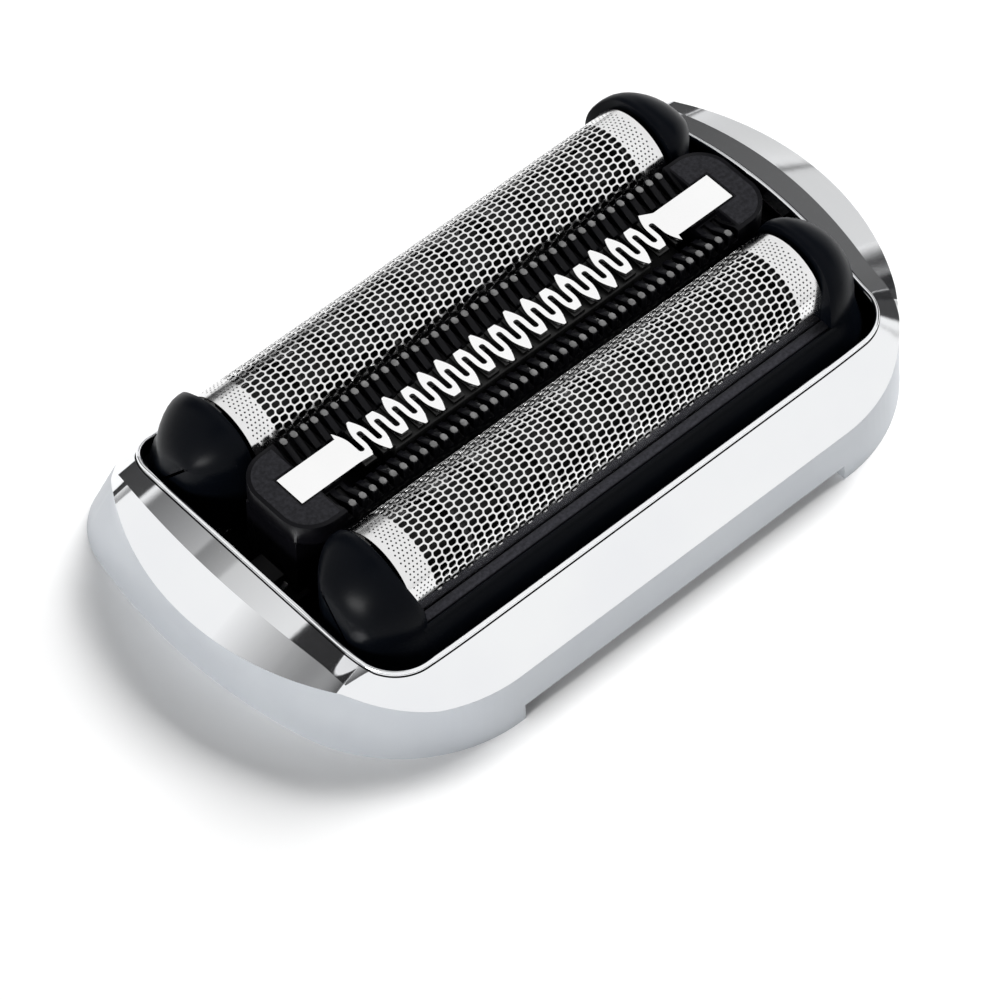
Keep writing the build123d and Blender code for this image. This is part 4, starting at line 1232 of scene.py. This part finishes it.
# Dark cards that only mirror-like surfaces show, as flags beside a product table do
def flag_material(name, low, high, fade):
    """A card whose darkness runs from its low to its high edge and fades out at its rim."""
    material, tree, shader = new_material(name)
    shader.inputs["Base Color"].default_value = CARD_COLOUR
    shader.inputs["Roughness"].default_value = 1.0
    shader.inputs["Specular IOR Level"].default_value = 0.0
    place = put(tree, "ShaderNodeTexCoord").outputs["Object"]
    parts = put(tree, "ShaderNodeSeparateXYZ", {0: place}).outputs
    ramp = {"Value": parts["Y"], "From Min": -1.0, "From Max": 1.0}
    ramp.update({"To Min": low, "To Max": high})
    dark = put(tree, "ShaderNodeMapRange", ramp).outputs["Result"]
    for axis in ("X", "Y"):
        reach = math_node(tree, "ABSOLUTE", parts[axis])
        rim = {"Value": reach, "From Min": 1.0 - fade, "From Max": 1.0, "To Min": 1.0, "To Max": 0.0}
        edge = put(tree, "ShaderNodeMapRange", rim, interpolation_type="SMOOTHSTEP")
        dark = math_node(tree, "MULTIPLY", dark, edge.outputs["Result"])
    tree.links.new(dark, shader.inputs["Alpha"])
    return material


QUARTER = math.pi / 2
WALLS = {
    "table": (0.0, 0.0, 0.0),
    "top": (0.0, 0.0, 0.0),
    "rear": (QUARTER, 0.0, 0.0),
    "right": (QUARTER, 0.0, QUARTER),
}

# Name, wall, reach across it, reach up it, darkness at its low and high edge, and share of the fade
FLAGS = (
    ("overhead_strip", "top", (-0.13, 0.09), (-0.1, 0.085), 0.97, 0.97, 0.1),
    ("overhead_shade", "top", (-0.56, -0.1), (-0.05, 0.27), 0.95, 0.0, 0.1),
    ("overhead_mid", "top", (-0.12, 0.14), (0.07, 0.44), 0.12, 0.5, 0.1),
    ("rear_block", "rear", (-0.1, 0.26), (0.02, 0.43), 0.96, 0.94, 0.06),
    ("rear_shade", "rear", (-0.14, 0.24), (0.43, 1.15), 0.84, 0.3, 0.12),
    ("right_shade", "right", (-0.08, 0.68), (0.19, 0.6), 0.9, 0.84, 0.12),
    ("right_low", "right", (-0.28, 0.12), (0.02, 0.32), 0.94, 0.94, 0.12),
    ("right_far", "right", (0.42, 0.62), (0.005, 0.14), 0.92, 0.92, 0.12),
    ("right_haze", "right", (0.02, 0.45), (-0.06, 0.2), 0.3, 0.22, 0.1),
    ("table_shade", "table", (0.04, 0.62), (-0.12, 0.56), 0.5, 0.56, 0.08),
)
for label, wall, across, upward, low, high, fade in FLAGS:
    first = (across[0] + across[1]) / 2
    second = (upward[0] + upward[1]) / 2
    places = {
        "table": (first, second, MM),
        "top": (first, second, WALL_DISTANCE),
        "rear": (first, WALL_DISTANCE, second),
        "right": (WALL_DISTANCE, first, second),
    }
    look = flag_material(label, low, high, fade)
    flag = sheet(label, across[1] - across[0], upward[1] - upward[0], places[wall], look, WALLS[wall])
    flag.visible_camera = False
    flag.visible_diffuse = False
    flag.visible_transmission = False
    flag.visible_shadow = False


def lamp(name, place, size, watts):
    """A square area lamp aimed at the head."""
    data = bpy.data.lights.new(name, "AREA")
    data.shape = "SQUARE"
    data.size = size
    data.energy = watts
    item = bpy.data.objects.new(name, data)
    item.location = place
    item.rotation_euler = (-Vector(place)).to_track_quat("-Z", "Y").to_euler()
    bpy.context.scene.collection.objects.link(item)
    return item


key_lamp = lamp("key_lamp", place=(0.45, 0.1, 0.52), size=0.36, watts=6.5)
key_lamp.visible_glossy = False
lamp("fill_lamp", place=(-0.6, -0.12, 0.05), size=0.24, watts=4.0)

world = bpy.data.worlds.new("studio")
world.use_nodes = True
bpy.context.scene.world = world
sky = world.node_tree
sky_shader = sky.nodes["Background"]
rays = put(sky, "ShaderNodeLightPath").outputs
seen = math_node(sky, "MAXIMUM", rays["Is Camera Ray"], rays["Is Glossy Ray"])
seen = math_node(sky, "MAXIMUM", seen, rays["Is Transmission Ray"])
level = put(sky, "ShaderNodeMapRange", {"Value": seen, "To Min": AMBIENT_LIGHT, "To Max": 1.0})
sky_shader.inputs["Color"].default_value = WHITE
sky.links.new(level.outputs["Result"], sky_shader.inputs["Strength"])

# Camera
CAMERA_AIM = Vector((-8.07, -6.94, 8.0)) * MM
CAMERA_BACK = Vector((-0.408, -0.4465, 0.796)).normalized()
CAMERA_DISTANCE = 400 * MM
CAMERA_LENS = 209.2
view = bpy.data.cameras.new("photo_camera")
view.lens = CAMERA_LENS
view.sensor_width = 36.0
view.clip_start = 0.01
view.clip_end = 10.0
camera = bpy.data.objects.new("photo_camera", view)
camera.location = CAMERA_AIM + CAMERA_BACK * CAMERA_DISTANCE
camera.rotation_euler = (-CAMERA_BACK).to_track_quat("-Z", "Y").to_euler()
bpy.context.scene.collection.objects.link(camera)
bpy.context.scene.camera = camera
bpy.context.scene.view_settings.view_transform = "Standard"
